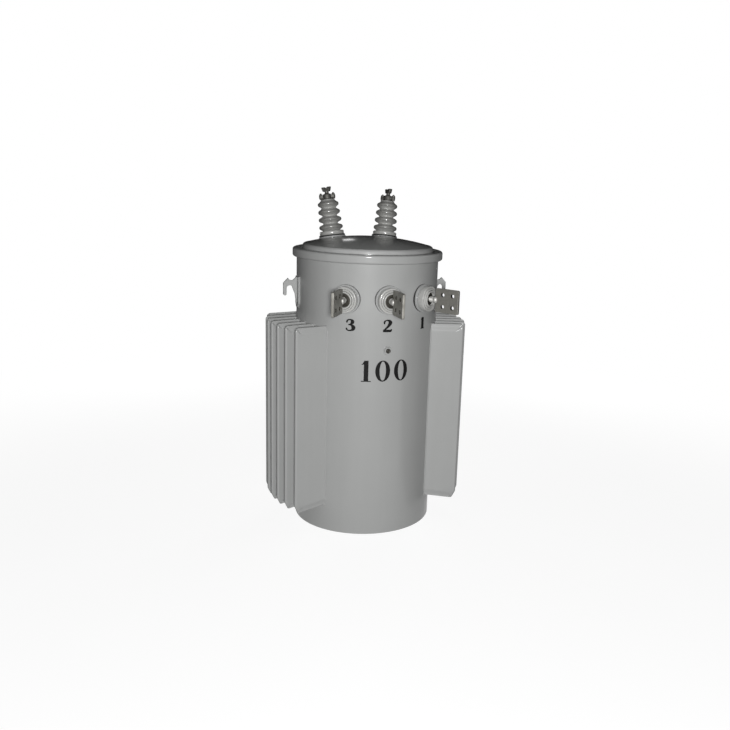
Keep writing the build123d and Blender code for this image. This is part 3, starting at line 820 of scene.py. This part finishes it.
# ---- low voltage terminals ----
def gasket_ring(name, seat, section):
    """Gasket of a wall or cover bushing, turned from its section."""
    shape = Shape()
    shape.lathe(seat, section, 90)
    shape.piece(f"{name}_ring", "rubber", angle=50, replaces=(name,))


def wall_gasket(lv):
    """Section of a wall bushing's gasket: it reaches back to the curved wall, and bulges a little."""
    inner, reach, back, front = 0.03, lv.gasket, -0.006, 0.0029
    outside = [(reach - 0.0006, back), (reach, -0.0015), (reach + 0.0003, 0.0015), (reach - 0.0005, front)]
    return [(inner, back), *outside, (inner, front)]


def ringed_porcelain(name, lv, seat):
    """Body of a wall bushing: a lip round the nut's recess, two rounded rings, a groove between each pair."""
    lip, front, side = 0.0435, 0.0405, lv.body
    profile = [(0.001, lv.floor), (lv.recess - 0.0005, lv.floor), (lv.recess, lv.floor + 0.0005)]
    # Each ring's middle, half its width, its crest, and the groove outside it.
    rings = [(lv.recess + 0.003, 0.003, lip, 0.034), (0.0366, 0.0035, front, 0.033)]
    rings.append((side - 0.0042, 0.0042, 0.0372, 0.018))
    for middle, half, crest, valley in rings:
        nose = min(half, 0.0036)
        for t in range(180, -1, -20):
            reach = (half - nose) * (1 if t < 90 else -1 if t > 90 else 0)
            x, y = polar(nose, radians(t))
            profile.append((middle + reach + x, crest - nose + y))
        profile.append((middle + half + 0.0003, valley))
    profile += [(side - 0.004, 0.017), (side - 0.004, 0.008), (0.001, 0.008)]
    shape = Shape()
    shape.lathe(seat, profile, 96)
    shape.piece(f"{name}_rings", "porcelain", angle=50, replaces=(name,))


def nut_and_washer(name, lv, seat):
    """Nut on its seal washer, at the bottom of the recess."""
    edge, washer_top = lv.recess - 0.0004, lv.floor + 0.0024
    washer = [(0.001, lv.floor), (edge, lv.floor), (edge, lv.floor + 0.0012), (0.02, washer_top)]
    shape = Shape()
    shape.lathe(seat, [*washer, (0.001, washer_top)], 64)
    bolt_head(shape, seat, lv.nut, washer_top, lv.floor + 0.0094)
    # Nut and washer take the near-black finish: partly dark metal, partly painted shade in the recess.
    shape.piece(f"{name}_nut", "tinned_metal", "recess_shade", angle=32)


def stud_and_hub(name, lv, seat):
    """Threaded stud, and the round hub that joins it to the pad."""
    thread_pitch = 0.0023
    foot = lv.pad_start - 0.0065
    crown = foot + 0.006
    shape = Shape()
    shape.thread(seat, lv.stud, lv.floor + 0.008, lv.pad_start - 0.004, thread_pitch)
    hub = [(lv.stud * 0.86, foot), (lv.hub - 0.0012, foot), (lv.hub, foot + 0.0012), (lv.hub, crown)]
    for t in range(6, 90, 6):
        x, y = polar(lv.hub, radians(t))
        hub.append((x, crown + 0.8 * y))
    shape.lathe(seat, hub, 64)
    # The stud and hub take the brighter copy of the tinned metal, which is partly a painted highlight.
    shape.piece(f"{name}_hub", "tinned_metal", "bright", angle=40)


def spade_pad(name, lv, seat):
    """Upright pad with four holes; the holes' walls and a thin ring round each take the near-black finish, as
    painted shade.
    """
    upright = framed(seat.col[2].xyz, seat.col[1].xyz, -seat.col[0].xyz, seat.col[3].xyz)
    middle = (lv.pad_start + lv.pad_end) / 2
    pad = oblong(lv.pad_end - lv.pad_start, lv.pad_height, lv.pad_corner)
    outer = lv.pad_end - lv.tip_margin
    half = lv.hole_spacing / 2
    spots = [(outer - step, y) for step in (0, lv.hole_spacing) for y in (-half, half)]
    holes = [circle(x, y, lv.hole) for x, y in spots]
    shape = Shape()
    shape.plate(upright, [(x + middle, y) for x, y in pad], holes, lv.pad_thickness, 0.0009)
    spade = shape.piece(f"{name}_spade", "tinned_metal", angle=32, replaces=(name,))
    # Faces in and round the holes get the near-black finish: painted shade.
    spade.data.materials.append(FINISH["recess_shade"])
    into = upright.inverted()
    for face in spade.data.polygons:
        x, y, _ = into @ face.center
        if min(hypot(x - u, y - v) for u, v in spots) < lv.hole + lv.hole_shade_ring:
            face.material_index = 1


class TRANSFORMER_OT_low_voltage_terminals(bpy.types.Operator):
    """Ringed porcelain and spade terminals of the three bushings on the front"""

    bl_idname = "transformer.low_voltage_terminals"
    bl_label = "Low voltage bushings"

    def execute(self, context):
        lv, tank = context.scene.transformer_lv, context.scene.transformer_tank
        for side, word in ((-1, "left"), (0, "middle"), (1, "right")):
            seat = on_wall(side * lv.angle, tank.radius, lv.height)
            gasket_ring(f"lv_gasket_{word}", seat, wall_gasket(lv))
            ringed_porcelain(f"lv_bushing_{word}", lv, seat)
            nut_and_washer(f"lv_terminal_{word}", lv, seat)
            stud_and_hub(f"lv_terminal_{word}", lv, seat)
            spade_pad(f"lv_terminal_{word}", lv, seat)
        return {"FINISHED"}


# ---- high voltage terminals ----
def cover_gasket(hv):
    """Section of a cover bushing's gasket, between its seat and the porcelain."""
    inner, low, high, reach = 0.03, 0.0035, hv.foot_lift + 0.0002, hv.gasket
    outside = [(reach - 0.0006, low), (reach, low + 0.001), (reach, high - 0.001), (reach - 0.001, high)]
    return [(inner, low), *outside, (inner, high)]


def shedded_porcelain(name, hv, tank, side):
    """Body of a cover bushing: a collar, and rounded sheds that grow smaller towards the top."""
    profile = [(0.001, 0), (0.047, 0), (0.0485, 0.0015), (0.0485, 0.0128), (0.0478, 0.0142), (0.046, 0.0152)]
    profile += [(0.04, 0.0165), (0.034, 0.0172)]
    for number in range(hv.sheds):
        along = hv.shed_first + number * hv.shed_pitch
        centre = hv.shed_radius - number * hv.shed_shrink - hv.shed_nose
        if number:
            profile += [(0.0292, along - 0.0142), (0.0315, along - 0.0122)]
        for t in range(-72, 73, 12):
            x, y = polar(hv.shed_nose, radians(t))
            profile.append((centre + x, along + y))
        profile += [(0.0315, along + 0.0122), (0.0292, along + 0.0142)]
    top = hv.stack - hv.foot_lift
    profile += [(0.0285, top - 0.003), (0.0272, top), (0.001, top)]
    shape = Shape()
    seat = on_crown(tank, side, hv, hv.foot_lift)
    shape.lathe(seat, profile, 96)
    sheds = shape.piece(f"{name}_sheds", "porcelain", "cover_porcelain", angle=50, replaces=(name,))
    # The rim value marks each shed's outer edge, where the glaze colour is painted dark as painted shade.
    rim = sheds.data.attributes.new("rim", "FLOAT", "POINT")
    into = seat.inverted()
    collar_top = 0.02
    for value, vertex in zip(rim.data, sheds.data.vertices):
        x, y, along = into @ vertex.co
        widest = hv.shed_radius - hv.shed_shrink * max(0, along - hv.shed_first) / hv.shed_pitch
        rim_shade = (hypot(x, y) - widest + hv.rim) / (0.6 * hv.rim)
        value.value = min(1, max(0, rim_shade)) if along > collar_top else 0


def cap_and_neck(shape, hv, seat):
    """Metal cap on the porcelain, drawn in to the neck under the head."""
    cap, shoulder, inside = hv.cap, hv.cap - 0.0026, hv.head_up + 0.004
    profile = [(0.001, 0), (cap, 0), (cap + 0.0008, 0.0012), (cap, 0.0032), (cap - 0.0022, 0.0044)]
    profile.append((shoulder, 0.018))
    for t in radians(30), radians(60), radians(90):
        profile.append((shoulder - 0.006 * (1 - cos(t)), 0.018 + 0.005 * sin(t)))
    profile += [(hv.neck + 0.002, 0.0238), (hv.neck, 0.0262), (hv.neck, inside), (0.001, inside)]
    shape.lathe(seat, profile, 64)


def clamp_bar(shape, hv, bar):
    """Bar across the cap, with a bolt and its nut at each end."""
    corner = hv.bar_width / 2 - 0.0002
    levels = [(0.006, 0.0012), (0.0066, 0.0003), (0.0074, 0), (0.0166, 0), (0.0174, 0.0003), (0.018, 0.0012)]
    shape.prism(bar, oblong(hv.bar_length, hv.bar_width, corner, 10), levels)
    for end in (-1, 1):
        eye = bar @ Matrix.Translation((end * (hv.bar_length - hv.bar_width) / 2, 0, 0))
        for low, high in ((0.0178, 0.0232), (0.0016, 0.0062)):
            bolt_head(shape, eye, 0.0072, low, high)
        shape.thread(eye, 0.0038, 0.0225, 0.0268, 0.0012, steps=24)


def forked_head(shape, hv, head):
    """Head that widens upwards to two jaws with a round notch between them."""
    spread = hv.head_foot / 2 + hv.head_tall * tan(hv.head_flare)
    low, high = hv.head_up, hv.head_up + hv.head_tall
    foot, half, notch = hv.head_foot / 2, hv.head_width / 2, 0.0062
    right = [(foot - 0.002, low), (foot + 0.001, low + 0.002), (spread - 0.0015, high - 0.002)]
    right += [(spread - 0.003, high), (0.0085, high), (0.0068, high - 0.0006)]
    section = [(0.002 - foot, low), *right]
    for t in np.radians(range(0, 181, 20)):
        section.append((notch * cos(t), high - hv.head_tall * 0.28 * sin(t) - 0.001))
    section += [(-x, z) for x, z in right[:0:-1]]
    middle = (low + high) / 2
    edges = [(half, 0.93), (half - 0.001, 0.985), (half - 0.0022, 1)]
    rows = []
    for across, gain in [(-y, gain) for y, gain in edges] + edges[::-1]:
        rows.append([head @ Vector((x * gain, across, middle + (z - middle) * gain)) for x, z in section])
    shape.grid(rows, ring=True, caps=True)


def eyebolt_terminal(name, hv, tank, side, bar_turn, head_turn):
    """Metal cap and neck, clamp bar with a bolted conductor eye at each end, and forked head."""
    seat = on_crown(tank, side, hv, hv.stack)
    shape = Shape()
    cap_and_neck(shape, hv, seat)
    clamp_bar(shape, hv, facing(seat, bar_turn))
    forked_head(shape, hv, facing(seat, head_turn))
    shape.piece(f"{name}_clamp", "bronze", angle=35, replaces=(name,))


class TRANSFORMER_OT_high_voltage_terminals(bpy.types.Operator):
    """Shedded porcelain and clamps of the two cover bushings"""

    bl_idname = "transformer.high_voltage_terminals"
    bl_label = "High voltage bushings"

    def execute(self, context):
        hv, tank = context.scene.transformer_hv, context.scene.transformer_tank
        for side, word in SIDES:
            gasket_ring(f"hv_gasket_{word}", on_crown(tank, side, hv, 0), cover_gasket(hv))
            shedded_porcelain(f"hv_bushing_{word}", hv, tank, side)
        eyebolt_terminal("hv_terminal_left", hv, tank, -1, hv.left_bar, hv.left_head)
        eyebolt_terminal("hv_terminal_right", hv, tank, 1, hv.right_bar, hv.right_head)
        return {"FINISHED"}


# ---- clamp band bolt ----
class TRANSFORMER_OT_band_bolt(bpy.types.Operator):
    """Bolt that closes the clamp band, with its washers and nut"""

    bl_idname = "transformer.band_bolt"
    bl_label = "Band bolt"

    def execute(self, context):
        low, high = BOLT_BOX
        centre = (low + high) / 2
        seat = framed((0, 1, 0), (0, 0, 1), (1, 0, 0), (0, centre.y, centre.z))
        grip = 0.025
        shape = Shape()
        bolt_head(shape, seat, 0.0102, -grip - 0.0096, -grip)
        bolt_head(shape, seat, 0.0102, grip + 0.0002, grip + 0.0096)
        shape.thread(seat, 0.006, -grip - 0.002, high.x, 0.00175, steps=32)
        for start, end in ((-grip - 0.0012, -grip + 0.0002), (grip - 0.0002, grip + 0.0012)):
            shape.lathe(seat, [(0.005, start), (0.0118, start), (0.0118, end), (0.005, end)], 48)
        shape.piece("band_bolt_set", "zinc_steel", angle=35, replaces=("band_bolt",))
        return {"FINISHED"}


# ---- welds ----
def on_circle(outward, across, offset, radius):
    """Where a fin's plane, moved across by offset, meets a circle round the tank's axis."""
    return outward * sqrt(radius**2 - offset**2) + across * offset


def lug_outline(lug):
    """Outline of a lifting lug's pad: (along the wall, height), from the top left corner anticlockwise."""
    half, low, cut = lug.width / 2, lug.top - lug.height, lug.cut
    right = [(half - cut, low), (half, low + cut), (half, lug.top)]
    return [(-x, z) for x, z in reversed(right)] + right


def fillet_weld(shape, tank, angle, outline, bead, seed):
    """Adds a bead round an outline that lies on the wall; outline points are (along the wall, height)."""
    corners = np.array(outline)
    ahead = np.roll(corners, -1, axis=0)
    dense = np.concatenate([np.linspace(a, b, 12, endpoint=False) for a, b in zip(corners, ahead)])
    away = dense - corners.mean(axis=0)
    away /= np.linalg.norm(away, axis=1, keepdims=True)
    spots, swells = [], []
    for (x, z), (u, v) in zip(dense, away):
        out, along = level(angle + x / tank.radius)
        spots.append(out * (tank.radius + 0.0004) + Vector((0, 0, z)))
        swells.append(out + along * u + Vector((0, 0, v)))
    weld(shape, spots, swells, *bead, closed=True, seed=seed)


def hanger_welds(hanger, tank):
    """Beads where the gussets and webs of the two pole hangers meet the wall."""
    for word, height, way in (("upper", hanger.low + hanger.pitch, -1), ("lower", hanger.low, 1)):
        shape = Shape()
        for side in (-1, 1):
            for face in (-1, 1):
                x = side * hanger.gusset + face * hanger.plate / 2
                foot = Vector((x, sqrt(tank.radius**2 - x * x), 0))
                heights = np.linspace(-hanger.half, hanger.half, 24)
                spots = [foot + Vector((0, 0, height + z)) for z in heights]
                weld(shape, spots, [(face, 1, 0)] * 24, *HANGER_BEAD, seed=40 + side + 3 * face)
        for face in (-1, 1):
            z = height + way * (hanger.half - hanger.plate / 2) + face * hanger.plate / 2
            reach = hanger.gusset - hanger.plate / 2
            xs = np.linspace(-reach, reach, 24)
            spots = [Vector((x, sqrt(tank.radius**2 - x * x), z)) for x in xs]
            weld(shape, spots, [(0, 1, face)] * 24, *HANGER_BEAD, seed=50 + face)
        shape.piece(f"{word}_hanger_welds", "tank_paint", angle=60)


def fin_welds(word, side, fins, tank):
    """Beads where a group's fins meet the wall: down both faces, and across the top and bottom."""
    lift = Vector((0, 0, 1))
    shape = Shape()
    for number in range(1, fins.count + 1):
        outward, across, offset = fin_plane(fins, side, number)
        low, high = fins.bottom + fins.slope + fins.taper * 0.6, fins.top - fins.taper * 0.6
        for face in (-1, 1):
            foot = on_circle(outward, across, offset + face * fins.thickness / 2, tank.radius)
            radial = Vector((foot.x, foot.y, 0)).normalized()
            swell = (radial + across * face).normalized()
            spots = [foot + lift * z for z in np.linspace(low, high, 40)]
            weld(shape, spots, [swell] * 40, *FIN_BEAD, seed=10 * number + face)
        radial = on_circle(outward, across, offset, tank.radius).normalized()
        for z, way, seed in ((fins.top, 1, 5), (fins.bottom + fins.slope, -1, 6)):
            feet = [on_circle(outward, across, offset + s, tank.radius) for s in (-0.009, 0, 0.009)]
            spots = [foot + lift * (z - way * 0.001) for foot in feet]
            swells = [(radial + lift * way).normalized()] * 3
            weld(shape, spots, swells, *FIN_END_BEAD, seed=seed)
    shape.piece(f"{word}_fin_welds", "tank_paint", angle=60)


def seam_welds(tank):
    """Upright seam at the back of the wall, and the bead under the rim flange."""
    shape = Shape()
    heights = np.linspace(0.01, tank.rim_height - 0.004, 60)
    back = np.stack((np.full(60, 0.0), np.full(60, tank.radius), heights), 1)
    bead = (tank.seam_width, tank.seam_bulge, 0.006)
    weld(shape, back, np.tile((0, 1, 0), (60, 1)), *bead, seed=3)
    turns = np.linspace(0, 2 * pi, 240, endpoint=False)
    out = np.stack((np.sin(turns), -np.cos(turns), np.zeros(240)), 1)
    path = out * (tank.radius + PROUD)
    path[:, 2] = tank.rim_height - 0.001
    weld(shape, path, out + np.array((0, 0, -1)), *RIM_BEAD, closed=True, seed=4)
    shape.piece("tank_seam_welds", "tank_paint", angle=60)


class TRANSFORMER_OT_ground_boss(bpy.types.Operator):
    """Bead round the ground boss, and the dark thread in its hole"""

    bl_idname = "transformer.ground_boss"
    bl_label = "Ground boss"

    def execute(self, context):
        boss, tank = context.scene.transformer_boss, context.scene.transformer_tank
        mouth = on_wall(0, tank.radius + boss.out, boss.height)
        shape = Shape()
        foot = on_wall(0, tank.radius, boss.height)
        ring_weld(shape, foot, boss.radius + PROUD, 60, BOSS_BEAD, 60, 1 / tank.radius)
        shape.piece("ground_boss_weld", "tank_paint", angle=60)
        shape = Shape()
        # The ring at the hole's mouth and the thread take the near-black finish: partly bare metal, partly
        # painted shade in the hole.
        bare_shade_ring, mouth_radius = boss.hole + boss.bare_shade_ring, boss.hole + 0.0002
        profile = [(bare_shade_ring, 0.0001), (bare_shade_ring, 0.0004), (mouth_radius, 0.0004), (mouth_radius, -0.0016)]
        for turn_number in range(int((boss.depth - 0.0025) / boss.pitch)):
            at = -0.0016 - turn_number * boss.pitch
            profile += [(boss.hole - 0.0008, at - boss.pitch / 2), (boss.hole - 0.0001, at - boss.pitch)]
        profile.append((0.0005, -boss.depth + 0.0004))
        shape.lathe(mouth, profile, 60, caps=False)
        shape.piece("ground_boss_thread", "tank_paint", "recess_shade", angle=35)
        return {"FINISHED"}


class TRANSFORMER_OT_welds(bpy.types.Operator):
    """Weld beads at the seams, fin roots, lugs, hangers and seats"""

    bl_idname = "transformer.welds"
    bl_label = "Welds"

    def execute(self, context):
        tank, fins = context.scene.transformer_tank, context.scene.transformer_fins
        hv = context.scene.transformer_hv
        seam_welds(tank)
        for side, word in SIDES:
            fin_welds(word, side, fins, tank)
        for side, word in SIDES:
            shape = Shape()
            outline = lug_outline(context.scene.transformer_lug)
            fillet_weld(shape, tank, side * pi / 2, outline, LUG_BEAD, 20 + side)
            shape.piece(f"{word}_lug_weld", "tank_paint", angle=60)
            shape = Shape()
            seat = on_crown(tank, side, hv, -0.0011)
            ring_weld(shape, seat, hv.seat, 90, SEAT_BEAD, 30 + side)
            shape.piece(f"{word}_seat_weld", "tank_paint", angle=60)
        hanger_welds(context.scene.transformer_hanger, tank)
        return {"FINISHED"}


# ---- numbers ----
# Strokes of each digit as (across, up, width) knots, in shares of its height.
STROKES = {
    "1": [
        [(0.2, 0.03, 0.06), (0.2, 0.06, 0.16), (0.2, 0.2, 0.155), (0.2, 0.8, 0.155), (0.2, 0.99, 0.155)],
        [(0.02, 0.8, 0.02), (0.08, 0.84, 0.05), (0.16, 0.93, 0.08), (0.26, 0.985, 0.03)],
        [(0.0, 0.018, 0.036), (0.2, 0.018, 0.036), (0.4, 0.018, 0.036)],
    ],
    "2": [
        [
            (0.1, 0.72, 0.07), (0.14, 0.88, 0.07), (0.3, 0.965, 0.065), (0.46, 0.9, 0.12),
            (0.51, 0.74, 0.15), (0.42, 0.52, 0.12), (0.24, 0.28, 0.08), (0.07, 0.09, 0.07),
        ],
        [(0.02, 0.065, 0.13), (0.3, 0.062, 0.125), (0.52, 0.07, 0.12), (0.61, 0.2, 0.035)],
        [(0.06, 0.735, 0.06), (0.11, 0.735, 0.13), (0.17, 0.735, 0.05)],
    ],
    "3": [
        [
            (0.1, 0.76, 0.06), (0.16, 0.91, 0.065), (0.3, 0.965, 0.065), (0.45, 0.89, 0.12),
            (0.47, 0.74, 0.14), (0.37, 0.58, 0.08), (0.2, 0.53, 0.045),
        ],
        [
            (0.2, 0.53, 0.045), (0.4, 0.5, 0.09), (0.53, 0.36, 0.15), (0.52, 0.16, 0.14),
            (0.38, 0.05, 0.08), (0.2, 0.035, 0.065), (0.07, 0.14, 0.06),
        ],
        [(0.05, 0.77, 0.06), (0.1, 0.77, 0.12), (0.16, 0.77, 0.05)],
        [(0.03, 0.16, 0.06), (0.08, 0.16, 0.12), (0.14, 0.16, 0.05)],
    ],
}
RINGS = {"0": (0.31, 0.5, 0.31, 0.5, 0.15, 0.042)}
WIDTHS = {"0": 0.62, "1": 0.4, "2": 0.61, "3": 0.6}
LARGE_NUMBER = "100"
TERMINAL_NUMBERS = (("3", "left", -29.4), ("2", "middle", -0.6), ("1", "right", 33.3))  # angles in degrees


def digit(shape, mark, start, foot, height, radius, spread, bold):
    """Adds one painted digit to the wall; start is its left edge along the wall, foot its height."""

    def on(x, y):
        angle = (start + x * height * spread) / radius
        return (radius * sin(angle), -radius * cos(angle), foot + y * height)

    if mark in RINGS:
        cx, cy, a, b, side, end = RINGS[mark]
        c, d = a - side * bold, b - end * bold
        turns = np.linspace(0, 2 * pi, 64, endpoint=False)
        rows = []
        for share in (0, 1 / 3, 2 / 3, 1):
            wide, tall = a + (c - a) * share, b + (d - b) * share
            rows.append([on(cx + wide * cos(t), cy + tall * sin(t)) for t in turns])
        shape.grid(rows, ring=True)
    for stroke in STROKES.get(mark, ()):
        line = smooth_line(stroke, 8)
        ahead = np.gradient(line[:, :2], axis=0)
        ahead /= np.maximum(np.hypot(ahead[:, 0], ahead[:, 1]), 1e-9)[:, None]
        rows = []
        for share in (-0.5, -1 / 6, 1 / 6, 0.5):
            reach = share * bold
            knots = zip(line, ahead)
            rows.append([on(x + dy * w * reach, y - dx * w * reach) for (x, y, w), (dx, dy) in knots])
        shape.grid(rows)


class TRANSFORMER_OT_numbers(bpy.types.Operator):
    """Plain painted numbers on the front of the tank"""

    bl_idname = "transformer.numbers"
    bl_label = "Numbers"

    def execute(self, context):
        sizes, tank = context.scene.transformer_numbers, context.scene.transformer_tank
        radius = tank.radius + sizes.lift
        text = LARGE_NUMBER
        wide = sizes.tall * sizes.spread
        total = sum(WIDTHS[mark] * wide for mark in text) + (len(text) - 1) * sizes.gap
        shape = Shape()
        start = -total / 2 - radians(1) * radius
        for mark in text:
            digit(shape, mark, start, sizes.tall_foot, sizes.tall, radius, sizes.spread, sizes.bold)
            start += WIDTHS[mark] * wide + sizes.gap
        shape.piece("large_number", "tank_paint", "ink")
        for mark, word, angle in TERMINAL_NUMBERS:
            shape = Shape()
            spread = sizes.small_spread
            start = radians(angle) * radius - WIDTHS[mark] * sizes.small * spread / 2
            digit(shape, mark, start, sizes.small_foot, sizes.small, radius, spread, sizes.small_bold)
            shape.piece(f"{word}_terminal_number", "tank_paint", "ink")
        return {"FINISHED"}


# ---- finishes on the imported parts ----
class TRANSFORMER_OT_finishes(bpy.types.Operator):
    """Paint, porcelain, rubber and metal finishes on every part"""

    bl_idname = "transformer.finishes"
    bl_label = "Finishes"

    def execute(self, context):
        made = finishes(context.scene.transformer_colours)
        slots = {row["node"]: row["material_slot"] for row in frame["record"]["subparts"]}
        for name, part in frame["nodes"].items():
            part.data.materials.clear()
            part.data.materials.append(made["cover_paint" if name == "cover" else slots[name]])
        return {"FINISHED"}


# ---- stage ----
# Distance from the tank's axis, height and diameter of the large lamps.
FRONT_LAMP = (4.2, 1.4, 0.6)
BACK_LAMP = (4.0, 0.52, 1.0)
SMALL_LAMP_SIZE = 0.2
WHITE = (1, 1, 1, 1)
BLACK = (0, 0, 0, 1)


def lamp(name, azimuth, distance, height, size, power, target):
    """Round lamp that the camera doesn't see, aimed at a target."""
    data = bpy.data.lights.new(name, "AREA")
    data.shape = "DISK"
    data.size = size
    data.energy = power
    made = linked(name, data)
    place = Vector((distance * sin(azimuth), -distance * cos(azimuth), height))
    made.location = place
    made.rotation_mode = "QUATERNION"
    made.rotation_quaternion = (Vector(target) - place).to_track_quat("-Z", "Y")
    made.visible_camera = False
    return made


def lamps(studio, toward):
    """Lamp in front, one at each side behind, and the small one that glints on the cover."""
    lamp("front_lamp", toward + studio.front_turn, *FRONT_LAMP, studio.key, studio.aim)
    for side, word in SIDES:
        azimuth = toward + side * studio.back_turn
        back = lamp(f"{word}_lamp", azimuth, *BACK_LAMP, studio.back, studio.aim)
        back.visible_glossy = False
    x, y, height = studio.glint
    azimuth, distance = atan2(x, -y), hypot(x, y)
    lamp("glint_lamp", azimuth, distance, height, SMALL_LAMP_SIZE, studio.glint_power, studio.glint_aim)


def stage_sheet(name, rows, material):
    """Sheet of the stage through rows of points."""
    shape = Shape()
    shape.grid(rows)
    made = linked(name, shape.mesh(name, material))
    return made


def dark_flag(toward):
    """Black cloth round the object, seen only in reflections, so that rounded edges read dark."""
    graph = Graph(bpy.data.materials.new("black_cloth"))
    cloth = graph.finish(graph.node("ShaderNodeBsdfDiffuse", None, {"Color": rgba((0.01, 0.01, 0.01))}))
    inner, reach, lift = 0.45, 7, 0.003
    turns = toward + np.radians(np.linspace(60, 300, 60))
    line = [(inner, lift), (1.5, lift), (reach - 0.1, lift)]
    line += [polar(reach, e) for e in np.radians(np.linspace(0.5, 88, 16))]
    rows = [[(r * sin(t), -r * cos(t), z) for t in turns] for r, z in line]
    made = stage_sheet("dark_flag", rows, cloth)
    for ray in ("camera", "diffuse", "transmission", "volume_scatter", "shadow"):
        setattr(made, f"visible_{ray}", False)


def seen(graph):
    """1 for rays that show the background itself: camera, glossy and transmission rays."""
    path = graph.node("ShaderNodeLightPath")
    names = ("Is Camera Ray", "Is Glossy Ray", "Is Transmission Ray")
    camera, glossy, through = (Number(graph, path.outputs[name]) for name in names)
    return graph.number("ShaderNodeMath", {"operation": "MINIMUM"}, {0: camera + glossy + through, 1: 1.0})


def background(studio):
    """White background that lights the object only a little."""
    graph = Graph(bpy.data.worlds.new("studio"))
    strength = studio.ambient + (1 - studio.ambient) * seen(graph)
    light = graph.node("ShaderNodeBackground", None, {"Color": WHITE, "Strength": strength})
    return graph.finish(light, "World")


def studio_floor(studio):
    """Wide floor that fades into the background away from the object."""
    graph = Graph(bpy.data.materials.new("studio_floor"))
    away = graph.node("ShaderNodeVectorMath", {"operation": "LENGTH"}, {0: graph.place()})
    far = graph.ramp(away.outputs["Value"], 1.2, 3.2)
    pale = graph.mix(far, rgba(studio.floor), BLACK)
    diffuse = graph.node("ShaderNodeBsdfDiffuse", None, {"Color": pale})
    glow_level = (0.87 + 0.13 * far) * seen(graph)
    glow = graph.node("ShaderNodeEmission", None, {"Color": WHITE, "Strength": glow_level})
    both = graph.node("ShaderNodeAddShader", None, {0: diffuse.outputs[0], 1: glow.outputs[0]})
    side = np.linspace(-20, 20, 5)
    stage_sheet("floor", [[(x, y, 0.0) for x in side] for y in side], graph.finish(both))


def main_camera(studio):
    """Camera in front of the object, with its lens shifted and rolled."""
    data = bpy.data.cameras.new("camera")
    data.sensor_width = 36
    data.lens = studio.lens
    data.shift_x = studio.shift_x
    data.shift_y = studio.shift_y
    made = linked("camera", data)
    ahead = Vector(studio.look).normalized()
    right = ahead.cross(Vector((0, 0, 1))).normalized()
    basis = framed(right, right.cross(ahead), -ahead, studio.camera)
    made.matrix_world = basis @ Matrix.Rotation(studio.roll, 4, "Z")
    return made


class TRANSFORMER_OT_stage(bpy.types.Operator):
    """Floor, background, lamps and camera"""

    bl_idname = "transformer.stage"
    bl_label = "Stage"

    def execute(self, context):
        scene = context.scene
        studio = scene.transformer_studio
        toward = atan2(studio.camera[0], -studio.camera[1])
        scene.view_settings.view_transform = "Standard"
        scene.world = background(studio)
        studio_floor(studio)
        dark_flag(toward)
        lamps(studio, toward)
        scene.camera = main_camera(studio)
        return {"FINISHED"}


# ---- panel and registration ----
OPERATORS = (
    TRANSFORMER_OT_finishes,
    TRANSFORMER_OT_cooling_fins,
    TRANSFORMER_OT_low_voltage_terminals,
    TRANSFORMER_OT_high_voltage_terminals,
    TRANSFORMER_OT_band_bolt,
    TRANSFORMER_OT_ground_boss,
    TRANSFORMER_OT_welds,
    TRANSFORMER_OT_numbers,
    TRANSFORMER_OT_stage,
)
GROUPS = {
    "transformer_tank": TankSizes,
    "transformer_fins": FinSizes,
    "transformer_lv": LowVoltageSizes,
    "transformer_hv": HighVoltageSizes,
    "transformer_lug": LugSizes,
    "transformer_hanger": HangerSizes,
    "transformer_boss": BossSizes,
    "transformer_numbers": NumberSizes,
    "transformer_colours": Colours,
    "transformer_studio": StudioSettings,
}


class TRANSFORMER_PT_build(bpy.types.Panel):
    """Lists the steps that dress the transformer, and their sizes"""

    bl_idname = "TRANSFORMER_PT_build"
    bl_label = "Pole mounted transformer"
    bl_space_type = "VIEW_3D"
    bl_region_type = "UI"
    bl_category = "Transformer"

    def draw(self, context):
        for operator in OPERATORS:
            self.layout.operator(operator.bl_idname)
        for name, group in GROUPS.items():
            box = self.layout.box()
            for field in group.__annotations__:
                box.prop(getattr(context.scene, name), field)


def register():
    for group in GROUPS.values():
        bpy.utils.register_class(group)
    for name, group in GROUPS.items():
        setattr(bpy.types.Scene, name, PointerProperty(type=group))
    for operator in OPERATORS:
        bpy.utils.register_class(operator)
    bpy.utils.register_class(TRANSFORMER_PT_build)


def unregister():
    bpy.utils.unregister_class(TRANSFORMER_PT_build)
    for operator in reversed(OPERATORS):
        bpy.utils.unregister_class(operator)
    for name in GROUPS:
        delattr(bpy.types.Scene, name)
    for group in reversed(GROUPS.values()):
        bpy.utils.unregister_class(group)


def main():
    register()
    steps = bpy.ops.transformer
    steps.finishes()
    steps.cooling_fins()
    steps.low_voltage_terminals()
    steps.high_voltage_terminals()
    steps.band_bolt()
    steps.ground_boss()
    steps.welds()
    steps.numbers()
    steps.stage()


if __name__ == "__main__":
    main()
